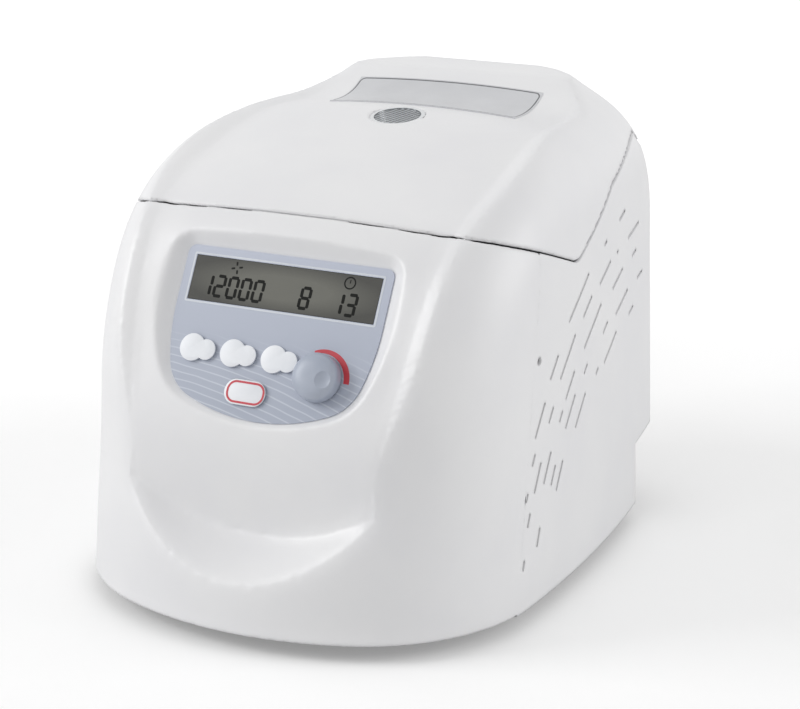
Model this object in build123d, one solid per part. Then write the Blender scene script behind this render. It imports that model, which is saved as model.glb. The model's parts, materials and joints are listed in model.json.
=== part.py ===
from build123d import *
import os
from math import atan2, cos, degrees, hypot, radians, sin, sqrt, tan

# Outer size of the moulded body
HOUSING_WIDTH = 280.0
HOUSING_DEPTH = 364.0
TOP_Z = 282.0
FOOT_HEIGHT = 10.0
WALL = 3.0
DRAFT_ANGLE = 1.8

# Plan outline: tangent arcs, front bow, front corner, side and rear corner
BOW_RADIUS = 192.0
CORNER_RADIUS = 107.5
UPPER_CORNER_RADIUS = 82.0
CORNER_BLEND = 90.0
SIDE_RADIUS = 999.0
REAR_CORNER_RADIUS = 18.0
CORNER_SETBACK = 113.5
WIDEST_SETBACK = 161.7

# Heights at which the walls start to roll over, and how far each one rolls in
ROLL_END_Z = 310.0
SHOULDER_START_Z = 205.0
SHOULDER_ROLL = 139.0
FRONT_ROLL_START_Z = 120.0
FRONT_ROLL = 236.0
REAR_ROLL_START_Z = 240.0
REAR_ROLL = 72.0
REAR_CORNER_GROWTH = 81.0
HULL_SECTIONS = 11

# Sunk band over the front and the lid: setback, height, lean, half width and crown of each station
CHANNEL_SLOPE = 2.0
CHANNEL_HEIGHT = 38.0
CHANNEL_STATIONS = (
    (20.0, 30.0, 12.0, 62.0, 2.0),
    (32.0, 95.0, 12.0, 77.5, 2.0),
    (42.5, 142.0, 15.0, 84.7, 2.5),
    (62.5, 190.0, 28.0, 90.4, 4.0),
    (92.5, 229.5, 50.0, 94.5, 6.0),
    (125.0, 245.5, 68.0, 96.0, 6.0),
    (172.0, 259.0, 77.0, 95.0, 5.5),
    (232.0, 268.0, 83.0, 91.0, 5.0),
    (292.0, 275.5, 83.0, 84.0, 4.0),
    (377.0, 286.5, 82.0, 70.0, 2.0),
)
CHANNEL_END_SETBACK = 23.0
CHANNEL_END_Z = 49.5
CHANNEL_END_SLOPE = 0.7
CHANNEL_END_SMILE = 14.0
CHANNEL_END_DEPTH = 24.0
SMILE_HALF_WIDTH = 105.0

# Parting line between housing and lid, seen from the side
PARTING_SETBACK = 98.0
PARTING_FRONT_Z = 226.0
PARTING_DROP_SETBACK = 184.0
PARTING_DROP_Z = 197.0
PARTING_DROP_ROUND = 14.0
PARTING_REAR_SETBACK = 256.0
PARTING_REAR_Z = 227.0
PARTING_SLOPE = 0.94
PARTING_GAP = 1.0

# Lid hinge
HINGE_SETBACK = 347.0
HINGE_Z = 247.0
HINGE_NOSE_RADIUS = 9.0
HINGE_TROUGH_RADIUS = 11.8
HINGE_PIN_RADIUS = 3.0
HINGE_PIN_LENGTH = 52.0
HINGE_X = 66.0
HINGE_KNUCKLE_LENGTH = 18.0
HINGE_KNUCKLE_RADIUS = 7.5
HINGE_PLATE_THICKNESS = 3.0
HINGE_PLATE_BOTTOM_Z = 205.0
HINGE_PLATE_TOP_Z = 236.0
HINGE_NECK = 6.0
SHAFT_CLEARANCE = 0.05
SIDE_CLEARANCE = 0.4

# Inner deck, bowl and lid liner
DECK_Z = 192.0
DECK_THICKNESS = 3.0
DECK_LEDGE_Z = 214.0
DECK_RISER_SETBACK = 110.0
DECK_REAR_SETBACK = 330.0
DECK_REAR_Z = 232.0
SEAT_GAP = 0.3
ROTOR_SETBACK = 217.0
BOWL_RADIUS = 93.0
BOWL_WALL = 1.5
BOWL_FLANGE = 6.0
BOWL_FLOOR_Z = 133.0
BOWL_HOLE_RADIUS = 15.0
BOWL_CORNER = 6.0
LINER_Z = 199.0
LINER_THICKNESS = 2.5
LINER_RADIUS = 99.0
LINER_RISE = 2.0
LINER_REAR_SETBACK = 326.0
GASKET_WIDTH = 3.0
LINER_BOSS_RADIUS = 5.0
LINER_BOSS_X = 62.0
LINER_BOSS_SPREAD = 58.0

# Rotor, capillaries and cover
ROTOR_RADIUS = 87.0
ROTOR_Z = 150.0
ROTOR_THICKNESS = 14.0
ROTOR_HUB_RADIUS = 8.0
CAPILLARY_COUNT = 24
CAPILLARY_LENGTH = 75.0
CAPILLARY_RADIUS = 0.75
CAPILLARY_BORE_RADIUS = 0.45
SLOT_WIDTH = 1.9
SLOT_DEPTH = 3.0
CUSHION_THICKNESS = 2.0
COVER_THICKNESS = 2.0
COVER_RADIUS = 86.0
ROTOR_KNOB_RADIUS = 12.5
ROTOR_KNOB_HEIGHT = 14.0
ROTOR_KNOB_FLUTES = 8
FLUTE_RADIUS = 2.5
SHAFT_RADIUS = 4.0
SHAFT_BOTTOM_Z = 60.0
SHAFT_TOP_Z = 174.0

# Drive
MOTOR_RADIUS = 42.0
MOTOR_BOTTOM_Z = 30.0
MOTOR_TOP_Z = 112.0
MOTOR_RIM = 8.0
BRACKET_THICKNESS = 3.0
BRACKET_HALF = 74.0
DAMPER_RADIUS = 9.0
DAMPER_HEIGHT = 14.0
DAMPER_WAIST = 2.0
PILLAR_RADIUS = 6.0
PILLAR_SPREAD = 62.0

# Base and feet
BASE_THICKNESS = 2.0
BASE_GAP = 1.0
FOOT_RADIUS = 14.0
FRONT_FOOT = (88.0, 72.0)
REAR_FOOT = (96.0, 292.0)
FOOT_POCKET_DEPTH = 4.0
BOSS_RADIUS = 6.0
BOSS_HEIGHT = 32.0
FRONT_BOSS = (129.0, 122.0)
REAR_BOSS = (128.0, 250.0)
SCREW_RADIUS = 1.9
SCREW_HEAD_RADIUS = 3.6
SCREW_HEAD_HEIGHT = 2.2
SCREW_LENGTH = 12.0
SCREW_CLEARANCE = 0.05

# Control panel, measured on its own leaning plane from the middle of the display
PANEL_SETBACK = 75.5
PANEL_Z = 191.0
PANEL_LEAN = 28.5
PANEL_HALF_WIDTH = 66.5
PANEL_TOP = 19.0
PANEL_CORNER = 5.0
PANEL_SIDE_DROP = 15.0
PANEL_SIDE_RADIUS = 125.0
PANEL_TURN_RADIUS = 28.7
PANEL_TURN_CENTER = (34.0, -42.0)
PANEL_BOTTOM_RADIUS = 117.1
OVERLAY_THICKNESS = 1.2
POCKET_SLOPE = 1.2
POCKET_HEIGHT = 22.0
POCKET_GAP = 0.3
DISPLAY_WIDTH = 120.0
DISPLAY_HEIGHT = 26.0
GLASS_THICKNESS = 1.6
BUTTON_DROP = 40.0
BUTTON_PITCH = 26.2
FIRST_BUTTON_X = -48.7
BUTTON_RADIUS = 8.5
BUTTON_LOBE_RADIUS = 5.2
BUTTON_LOBE_OFFSET = 6.6
BUTTON_LOBE_RISE = 2.0
BUTTON_PROUD = 1.6
BUTTON_FLANGE = 1.0
BUTTON_TRAVEL = 0.8
BUTTON_GAP = 0.35
START_X = -8.2
START_DROP = 61.8
START_WIDTH = 23.0
START_HEIGHT = 13.0
DIAL_X = 35.5
DIAL_DROP = 48.0
DIAL_RADIUS = 15.0
DIAL_HEIGHT = 13.0
DIAL_LIFT = 0.8
DIMPLE_RADIUS = 5.4
DIMPLE_DEPTH = 1.6
DIAL_ROUND = 2.5
ENCODER_SHAFT_RADIUS = 3.0
ENCODER_SIZE = 13.0
ENCODER_HEIGHT = 5.5
BOARD_GAP = 6.0
BOARD_THICKNESS = 1.6
BOARD_HALF_WIDTH = 58.0
BOARD_TOP = 12.0
BOARD_BOTTOM = 68.0
SWITCH_RADIUS = 3.0

# Lid window and plate
WINDOW_RADIUS = 14.5
WINDOW_RIM = 2.4
WINDOW_RIM_PROUD = 0.8
WINDOW_GLASS = 2.0
TUBE_WALL = 1.5
PLATE_LENGTH = 128.0
PLATE_WIDTH = 44.0
PLATE_SETBACK = 270.0
PLATE_THICKNESS = 0.6

# Side vents: setback, height and length of each slot, all square to rays from one centre
VENT_CENTER = (328.0, -34.0)
VENT_WIDTH = 1.8
VENTS = (
    (269, 207, 14), (295, 192, 28), (233, 198, 5), (257, 187, 3), (297, 177, 11), (313, 159, 15),
    (232, 180, 23), (258, 170, 23), (186, 176, 38), (200, 167, 17), (267, 153, 29), (209, 153, 36),
    (289, 142, 11), (232, 146, 10), (242, 131, 28), (168, 145, 31), (148, 144, 16), (171, 127, 19),
    (196, 130, 7), (216, 123, 5), (128, 118, 22), (143, 117, 10), (157, 112, 7), (171, 111, 22),
    (187, 107, 23), (119, 97, 7), (124, 85, 18), (137, 87, 19), (145, 80, 12), (154, 77, 18),
    (110, 77, 5), (112, 63, 8), (124, 49, 11), (105, 38, 6),
)

# Lid lock and its emergency release
LOCK_SETBACK = 102.0
LOCK_Z = 199.0
BOLT_RADIUS = 2.8
BOLT_TRAVEL = 6.0
BOLT_TIP_X = 3.0
BOLT_END_X = 98.0
STRIKER_THICKNESS = 2.0
STRIKER_WIDTH = 11.0
STRIKER_BOTTOM_Z = 192.5
STRIKER_WINDOW = 7.5
STRIKER_SWEEP = 7.0
CASE_END_X = 40.0
CASE_HALF_WIDTH = 7.0
CASE_BOTTOM_Z = 189.5
SOLENOID_START_X = 46.0
LEVER_X = 92.0
LEVER_Z = 178.0
LEVER_PIN_RADIUS = 1.5
LEVER_THICKNESS = 3.0
LEVER_WIDTH = 8.0
LEVER_SLOT = 3.6
LEVER_SLOT_LENGTH = 6.0
LEVER_SHAFT_RADIUS = 3.0
RELEASE_SETBACK = 127.6
RELEASE_Z = 153.0
RELEASE_HOLE_RADIUS = 2.4
ROD_RADIUS = 2.0
ROD_END_X = 123.0
CHEEK_THICKNESS = 3.0
GUIDE_X = 110.0

# Mains inlet bay in the rear right corner
BAY_LEFT_X = 60.0
BAY_SETBACK = 302.0
BAY_TOP_Z = 50.0
BAY_SIDE_X = 130.0
NOTCH_TOP_Z = 28.0
NOTCH_SETBACK = 304.0
INLET_X = 80.0
INLET_Z = 34.0
INLET_WIDTH = 28.0
INLET_HEIGHT = 24.0
INLET_FLANGE = 3.0
INLET_DEPTH = 18.0
SOCKET_WIDTH = 24.0
SOCKET_HEIGHT = 16.0
PIN_WIDTH = 2.0
PIN_HEIGHT = 4.0
PIN_SPREAD = 7.0
PIN_RISE = 2.0
FUSE_Z = 17.0
FUSE_WIDTH = 20.0
FUSE_HEIGHT = 6.0
FUSE_BORE_RADIUS = 2.2
FUSE_WALL = 1.0
SWITCH_X = 113.5
SWITCH_Z = 26.0
SWITCH_WIDTH = 22.0
SWITCH_HEIGHT = 26.0
ROCKER_WIDTH = 15.0
ROCKER_HEIGHT = 19.0
ROCKER_BACK = 3.0
ROCKER_CREST = 3.5
ROCKER_TILT = 9.0
ROCKER_PIN_RADIUS = 1.0
FLANGE_THICKNESS = 3.0

# Main board
MAIN_BOARD_SIZE = (120.0, 76.0)
MAIN_BOARD_SETBACK = 76.0
STANDOFF_HEIGHT = 8.0
STANDOFF_RADIUS = 3.0
MAIN_BOARD_BLOCKS = ((-40.0, 24.0, 22.0), (0.0, 18.0, 12.0), (38.0, 20.0, 16.0))

BASE_Z = FOOT_HEIGHT
FRONT_Y = -HOUSING_DEPTH / 2
REAR_Y = HOUSING_DEPTH / 2
DRAFT = tan(radians(DRAFT_ANGLE))
ROTOR_Y = FRONT_Y + ROTOR_SETBACK
INNER_BASE_Z = BASE_Z + BASE_THICKNESS
HINGE_Y = FRONT_Y + HINGE_SETBACK
LOCK_Y = FRONT_Y + LOCK_SETBACK
RISER_Y = FRONT_Y + DECK_RISER_SETBACK
BAY_Y = FRONT_Y + BAY_SETBACK
BOARD_DEPTH = WALL + BOARD_GAP
FAR = 400.0
PANEL = Plane(
    origin=(0, FRONT_Y + PANEL_SETBACK, PANEL_Z),
    x_dir=(1, 0, 0),
    z_dir=(0, -cos(radians(PANEL_LEAN)), sin(radians(PANEL_LEAN))),
)


def roll(z, start, reach):
    """How far a wall has rolled in at a height, along a quarter ellipse."""
    if z <= start:
        return 0.0
    share = (z - start) / (ROLL_END_Z - start)
    return reach * (1 - sqrt(1 - share**2))


def toward(center, point, radius):
    """The point at a radius from a centre, in the direction of another point."""
    span = hypot(point[0] - center[0], point[1] - center[1])
    across = (point[0] - center[0]) / span * radius
    along = (point[1] - center[1]) / span * radius
    return (center[0] + across, center[1] + along)


def plan_arc(center, start, end, radius, z):
    """An arc of the plan outline between two points that lie on it."""
    middle = toward(center, ((start[0] + end[0]) / 2, (start[1] + end[1]) / 2), radius)
    return Edge.make_three_point_arc((*start, z), (*middle, z), (*end, z))


def hull_section(z, inset):
    """Plan outline of the body at a height, moved inward by an inset."""
    level = z + inset
    rise = z - BASE_Z
    half = HOUSING_WIDTH / 2 - rise * DRAFT - roll(level, SHOULDER_START_Z, SHOULDER_ROLL)
    corner_y = FRONT_Y + CORNER_SETBACK + roll(level, FRONT_ROLL_START_Z, FRONT_ROLL)
    widest_y = FRONT_Y + WIDEST_SETBACK
    rear_y = REAR_Y - rise * DRAFT - roll(level, REAR_ROLL_START_Z, REAR_ROLL)
    corner_r = CORNER_RADIUS + (UPPER_CORNER_RADIUS - CORNER_RADIUS) * min(1, rise / CORNER_BLEND)
    rear_r = REAR_CORNER_RADIUS + roll(level, SHOULDER_START_Z, REAR_CORNER_GROWTH)
    side_x = half - SIDE_RADIUS
    side = (side_x, widest_y)
    corner = (side_x + sqrt((SIDE_RADIUS - corner_r) ** 2 - (corner_y - widest_y) ** 2), corner_y)
    rear_drop = rear_y - rear_r - widest_y
    rear = (side_x + sqrt((SIDE_RADIUS - rear_r) ** 2 - rear_drop**2), rear_y - rear_r)
    bow = (0.0, corner_y + sqrt((BOW_RADIUS - corner_r) ** 2 - corner[0] ** 2))
    bow_end = toward(bow, corner, BOW_RADIUS - inset)
    hip = toward(side, corner, SIDE_RADIUS - inset)
    tail = toward(side, rear, SIDE_RADIUS - inset)
    end = (rear[0], rear_y - inset)
    right = [
        plan_arc(corner, bow_end, hip, corner_r - inset, z),
        plan_arc(side, hip, tail, SIDE_RADIUS - inset, z),
        plan_arc(rear, tail, end, rear_r - inset, z),
    ]
    left = [edge.mirror(Plane.YZ) for edge in reversed(right)]
    front = plan_arc(bow, (-bow_end[0], bow_end[1]), bow_end, BOW_RADIUS - inset, z)
    back = Edge.make_line((*end, z), (-end[0], end[1], z))
    return Wire([front, *right, back, *left])


def hull(inset):
    """The body before the sunk band is cut, as a smooth loft of its plan outlines."""
    step = (TOP_Z - inset - BASE_Z) / (HULL_SECTIONS - 1)
    return Solid.make_loft([hull_section(BASE_Z + i * step, inset) for i in range(HULL_SECTIONS)])


def channel_section(setback, z, lean, half, crown, inset):
    """One section of the space over the sunk band: crowned floor and sloping sides."""
    angle = radians(lean)
    out = Vector(0, -cos(angle), sin(angle))
    origin = Vector(0, FRONT_Y + setback, z) - out * inset
    half_width = half + inset
    reach = half_width + CHANNEL_SLOPE * CHANNEL_HEIGHT
    corners = (
        (half_width, -crown),
        (reach, CHANNEL_HEIGHT - crown),
        (-reach, CHANNEL_HEIGHT - crown),
        (-half_width, -crown),
    )
    points = [origin + Vector(across, 0, 0) + out * height for across, height in corners]
    floor = Edge.make_three_point_arc(points[3], origin, points[0])
    return Wire([floor, *[Edge.make_line(a, b) for a, b in zip(points, points[1:])]])


def side_prism(points, half_width=FAR):
    """A closed side-view outline of (y, z) points, spread over the width."""
    face = Face(Wire.make_polygon([(-half_width, y, z) for y, z in points], close=True))
    return Solid.extrude(face, Vector(2 * half_width, 0, 0))


def channel_end(inset):
    """Everything under the ramp that closes the lower end of the sunk band."""
    low = CHANNEL_END_Z - inset * hypot(1, CHANNEL_END_SLOPE)
    half = CHANNEL_STATIONS[0][3]
    radius = (half**2 + CHANNEL_END_SMILE**2) / (2 * CHANNEL_END_SMILE)
    rim_z = low + radius - sqrt(radius**2 - SMILE_HALF_WIDTH**2)
    y = FRONT_Y + CHANNEL_END_SETBACK + CHANNEL_END_DEPTH / CHANNEL_END_SLOPE
    left = (-SMILE_HALF_WIDTH, y, rim_z + CHANNEL_END_DEPTH)
    right = (SMILE_HALF_WIDTH, y, rim_z + CHANNEL_END_DEPTH)
    arc = Edge.make_three_point_arc(left, (0, y, low + CHANNEL_END_DEPTH), right)
    corners = [
        right,
        (FAR, y, right[2]),
        (FAR, y, -FAR),
        (-FAR, y, -FAR),
        (-FAR, y, left[2]),
        left,
    ]
    sides = [Edge.make_line(a, b) for a, b in zip(corners, corners[1:])]
    return Solid.extrude(Face(Wire([arc, *sides])), Vector(0, -FAR, -FAR * CHANNEL_END_SLOPE))


def channel(inset):
    """The space over the sunk band, closed at its lower end by a smile-shaped ramp."""
    space = Solid.make_loft([channel_section(*row, inset) for row in CHANNEL_STATIONS])
    return space - channel_end(inset)


def body_form(inset):
    """The whole moulded body as one block, or the hollow inside it when inset."""
    return hull(inset) - channel(inset)


def parting_line(rise):
    """The parting line from front to hinge as (y, z) points, raised by an amount."""
    front_y = FRONT_Y + PARTING_SETBACK
    points = (
        (front_y - FAR, PARTING_FRONT_Z + FAR * PARTING_SLOPE),
        (front_y, PARTING_FRONT_Z),
        (FRONT_Y + PARTING_DROP_SETBACK, PARTING_DROP_Z),
        (FRONT_Y + PARTING_REAR_SETBACK, PARTING_REAR_Z),
        (HINGE_Y, HINGE_Z),
        (HINGE_Y + FAR, HINGE_Z),
    )
    return [(y, z + rise) for y, z in points]


def above_parting(rise, rear_y=FAR):
    """The space above the parting line, closed at the rear."""
    points = parting_line(rise)
    line = [point for point in points if point[0] < rear_y]
    before = line[-1]
    after = points[len(line)]
    share = (rear_y - before[0]) / (after[0] - before[0])
    corner = (rear_y, before[1] + share * (after[1] - before[1]))
    face = Face(Wire.make_polygon([(-FAR, y, z) for y, z in [*line, corner, (rear_y, FAR)]]))
    drop = face.vertices().sort_by(Axis.Z)[0]
    face = face.fillet_2d(PARTING_DROP_ROUND, [drop])
    return Solid.extrude(face, Vector(2 * FAR, 0, 0))


def block(x, y, z):
    """A box between two limits along each axis."""
    size = (x[1] - x[0], y[1] - y[0], z[1] - z[0])
    return Pos((x[0] + x[1]) / 2, (y[0] + y[1]) / 2, (z[0] + z[1]) / 2) * Box(*size)


def disc(radius, low, high, x=0.0, y=0.0):
    """An upright cylinder between two heights."""
    return Solid.make_cylinder(radius, high - low, Plane(origin=(x, y, low)))


def ring(outer, inner, low, high, x=0.0, y=0.0):
    """An upright tube between two heights."""
    return disc(outer, low, high, x, y) - disc(inner, low, high, x, y)


def bar(radius, start_x, end_x, y, z):
    """A cylinder along the width."""
    plane = Plane(origin=(start_x, y, z), z_dir=(1, 0, 0))
    return Solid.make_cylinder(radius, end_x - start_x, plane)


def axle(radius, start_y, end_y, x, z):
    """A cylinder along the depth."""
    plane = Plane(origin=(x, start_y, z), z_dir=(0, 1, 0))
    return Solid.make_cylinder(radius, end_y - start_y, plane)


def on_panel(shape, x=0.0, drop=0.0, height=0.0):
    """Place a shape on the control panel."""
    return PANEL.location * Pos(x, -drop, height) * shape


def slab(face, low, high):
    """A flat face thickened between two heights over its own plane."""
    return Pos(0, 0, low) * Solid.extrude(face, Vector(0, 0, high - low))


def floor_plane(setback):
    """The plane that touches the floor of the sunk band in its middle, at a setback."""
    rows = zip(CHANNEL_STATIONS, CHANNEL_STATIONS[1:])
    before, after = next((a, b) for a, b in rows if a[0] <= setback <= b[0])
    share = (setback - before[0]) / (after[0] - before[0])
    z = before[1] + share * (after[1] - before[1])
    tilt = atan2(after[1] - before[1], after[0] - before[0])
    origin = (0, FRONT_Y + setback, z)
    return Plane(origin=origin, x_dir=(1, 0, 0), z_dir=(0, -sin(tilt), cos(tilt)))


def panel_face(grow):
    """Outline of the control panel: straight top, bowed sides and a round bottom."""
    side_center = (PANEL_HALF_WIDTH - PANEL_SIDE_RADIUS, -PANEL_SIDE_DROP)
    turn = PANEL_TURN_CENTER
    lift = sqrt((PANEL_BOTTOM_RADIUS - PANEL_TURN_RADIUS) ** 2 - turn[0] ** 2)
    bottom_center = (0.0, turn[1] + lift)
    top = PANEL_TOP + grow
    side = PANEL_HALF_WIDTH + grow
    corner = PANEL_CORNER + grow
    side_end = toward(side_center, turn, PANEL_SIDE_RADIUS + grow)
    turn_end = toward(bottom_center, turn, PANEL_BOTTOM_RADIUS + grow)
    corner_center = (side - corner, top - corner)
    corner_start = (side - corner, top)
    corner_end = (side, top - corner)
    side_start = (side, side_center[1])
    right = [
        plan_arc(corner_center, corner_start, corner_end, corner, 0),
        Edge.make_line((*corner_end, 0), (*side_start, 0)),
        plan_arc(side_center, side_start, side_end, PANEL_SIDE_RADIUS + grow, 0),
        plan_arc(turn, side_end, turn_end, PANEL_TURN_RADIUS + grow, 0),
    ]
    left = [edge.mirror(Plane.YZ) for edge in reversed(right)]
    bottom = plan_arc(
        bottom_center, turn_end, (-turn_end[0], turn_end[1]), PANEL_BOTTOM_RADIUS + grow, 0
    )
    lid = Edge.make_line((-corner_start[0], top, 0), (*corner_start, 0))
    return Face(Wire([lid, *right, bottom, *left]))


def pocket(floor, grow):
    """The sloping-sided space that sinks the control panel into the front."""
    top = floor + POCKET_HEIGHT
    wires = [
        panel_face(grow).outer_wire(),
        panel_face(grow + POCKET_HEIGHT * POCKET_SLOPE).outer_wire(),
    ]
    placed = [Pos(0, 0, height) * wire for wire, height in zip(wires, (floor, top))]
    return on_panel(Solid.make_loft(placed, True))


def button_face(grow):
    """Outline of a key: a round with two smaller rounds, one on each side."""
    face = Circle(BUTTON_RADIUS + grow)
    for side in (-1, 1):
        place = Pos(side * BUTTON_LOBE_OFFSET, -side * BUTTON_LOBE_RISE, 0)
        face += place * Circle(BUTTON_LOBE_RADIUS + grow)
    return face.face()


def start_face(grow):
    """Outline of the wide key under the row of three."""
    return SlotOverall(START_WIDTH + 2 * grow, START_HEIGHT + 2 * grow).face()


def keys():
    """Every key of the panel: name, outline function, place across and drop."""
    names = ("button_left", "button_middle", "button_right")
    row = [
        (name, button_face, FIRST_BUTTON_X + i * BUTTON_PITCH, BUTTON_DROP)
        for i, name in enumerate(names)
    ]
    return [*row, ("start_button", start_face, START_X, START_DROP)]


def panel_openings(low, high):
    """The holes through the panel for the keys, the display and the encoder shaft."""
    holes = [
        on_panel(slab(outline(BUTTON_GAP), low, high), x, drop) for _, outline, x, drop in keys()
    ]
    display = Rectangle(DISPLAY_WIDTH + 2 * SEAT_GAP, DISPLAY_HEIGHT + 2 * SEAT_GAP).face()
    shaft = Circle(ENCODER_SHAFT_RADIUS + BUTTON_GAP).face()
    return [
        *holes,
        on_panel(slab(display, low, high)),
        on_panel(slab(shaft, low, high), DIAL_X, DIAL_DROP),
    ]


def vents():
    """The ventilation slots, each one cut straight through both side walls."""
    slots = []
    for setback, z, length in VENTS:
        angle = degrees(atan2(z - VENT_CENTER[1], setback - VENT_CENTER[0])) + 90
        slot = Box(2 * FAR, length, VENT_WIDTH)
        slots.append(Pos(0, FRONT_Y + setback, z) * Rot(angle, 0, 0) * slot)
    return slots


def hinge_slots(radius, spare):
    """The spaces round the two knuckles."""
    half = HINGE_KNUCKLE_LENGTH / 2 + spare
    return [bar(radius, x - half, x + half, HINGE_Y, HINGE_Z) for x in (-HINGE_X, HINGE_X)]


def bosses():
    """Places of the screw bosses under the housing."""
    return [(side * x, FRONT_Y + back) for side in (-1, 1) for x, back in (FRONT_BOSS, REAR_BOSS)]


def feet():
    """Places of the four feet."""
    return [(side * x, FRONT_Y + back) for side in (-1, 1) for x, back in (FRONT_FOOT, REAR_FOOT)]


def mains_holes(grow):
    """The spaces through the bay wall for the mains socket and the rocker switch."""
    along = (BAY_Y - INLET_DEPTH, BAY_Y)
    low = FUSE_Z - FUSE_HEIGHT / 2 - INLET_FLANGE / 2 - grow
    top = INLET_Z + INLET_HEIGHT / 2 + grow
    inlet_half = INLET_WIDTH / 2 + grow
    half_w = SWITCH_WIDTH / 2 - INLET_FLANGE / 2 + grow
    half_h = SWITCH_HEIGHT / 2 - INLET_FLANGE / 2 + grow
    return [
        block((INLET_X - inlet_half, INLET_X + inlet_half), along, (low, top)),
        block((SWITCH_X - half_w, SWITCH_X + half_w), along, (SWITCH_Z - half_h, SWITCH_Z + half_h)),
    ]


def housing(outer, inner, lid_space):
    """The lower moulding: skin, panel pocket, vents, bosses and mains bay."""
    bay = block((BAY_LEFT_X, BAY_SIDE_X), (BAY_Y, FAR), (-FAR, BAY_TOP_Z))
    bay_skin = block(
        (BAY_LEFT_X - WALL, BAY_SIDE_X + WALL), (BAY_Y - WALL, FAR), (-FAR, BAY_TOP_Z + WALL)
    )
    notch = block((0, FAR), (FRONT_Y + NOTCH_SETBACK, FAR), (-FAR, NOTCH_TOP_Z))
    hollow = inner - pocket(-WALL, POCKET_GAP) - bay_skin
    shell = outer - hollow
    for x, y in bosses():
        boss = disc(BOSS_RADIUS, INNER_BASE_Z, INNER_BASE_Z + BOSS_HEIGHT, x, y)
        shell += boss
    shell -= [pocket(0, POCKET_GAP), bay, notch, lid_space, *vents(), *mains_holes(SEAT_GAP)]
    shell -= panel_openings(-2 * WALL, WALL)
    shell -= [
        disc(SCREW_RADIUS + SCREW_CLEARANCE, -FAR, INNER_BASE_Z + SCREW_LENGTH, x, y)
        for x, y in bosses()
    ]
    shell -= bar(HINGE_TROUGH_RADIUS, -FAR, FAR, HINGE_Y, HINGE_Z)
    shell -= bar(RELEASE_HOLE_RADIUS, 0, FAR, FRONT_Y + RELEASE_SETBACK, RELEASE_Z)
    return shell.solids().sort_by(SortBy.VOLUME)[-1]


def lid_shell(outer, inner, lid_space):
    """The lid moulding with its solid hinge nose, window hole and screw bosses."""
    nose = outer & bar(HINGE_NOSE_RADIUS, -FAR, FAR, HINGE_Y, HINGE_Z)
    lid = (outer & lid_space) - (inner & lid_space)
    lid = lid + nose
    for x, y in liner_bosses():
        lid += inner & disc(LINER_BOSS_RADIUS, LINER_Z + LINER_THICKNESS, FAR, x, y)
    lid -= hinge_slots(HINGE_TROUGH_RADIUS, SIDE_CLEARANCE)
    half = HINGE_PIN_LENGTH / 2 + SIDE_CLEARANCE
    for x in (-HINGE_X, HINGE_X):
        lid -= bar(HINGE_PIN_RADIUS + SHAFT_CLEARANCE, x - half, x + half, HINGE_Y, HINGE_Z)
    window = floor_plane(ROTOR_SETBACK).location
    seat = Circle(WINDOW_RADIUS + WINDOW_RIM + SHAFT_CLEARANCE).face()
    lid -= window * slab(Circle(WINDOW_RADIUS).face(), -FAR / 4, FAR / 4)
    lid -= window * slab(seat, -WINDOW_GLASS, FAR / 4)
    for x, y in liner_bosses():
        top = LINER_Z + LINER_THICKNESS + SCREW_LENGTH
        lid -= disc(SCREW_RADIUS + SCREW_CLEARANCE, LINER_Z, top, x, y)
    return lid.solids().sort_by(SortBy.VOLUME)[-1]


def liner_bosses():
    """Places of the screw bosses that hold the liner to the lid."""
    spread = (-LINER_BOSS_SPREAD, LINER_BOSS_SPREAD)
    return [(side * LINER_BOSS_X, ROTOR_Y + back) for side in (-1, 1) for back in spread]


def write(shape, name):
    """Write one piece to its own file."""
    pieces = shape if isinstance(shape, (list, tuple)) else [shape]
    solids = [solid for piece in pieces for solid in piece.solids()]
    export_step(Compound(children=solids), f"parts/{name}.step")


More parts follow.
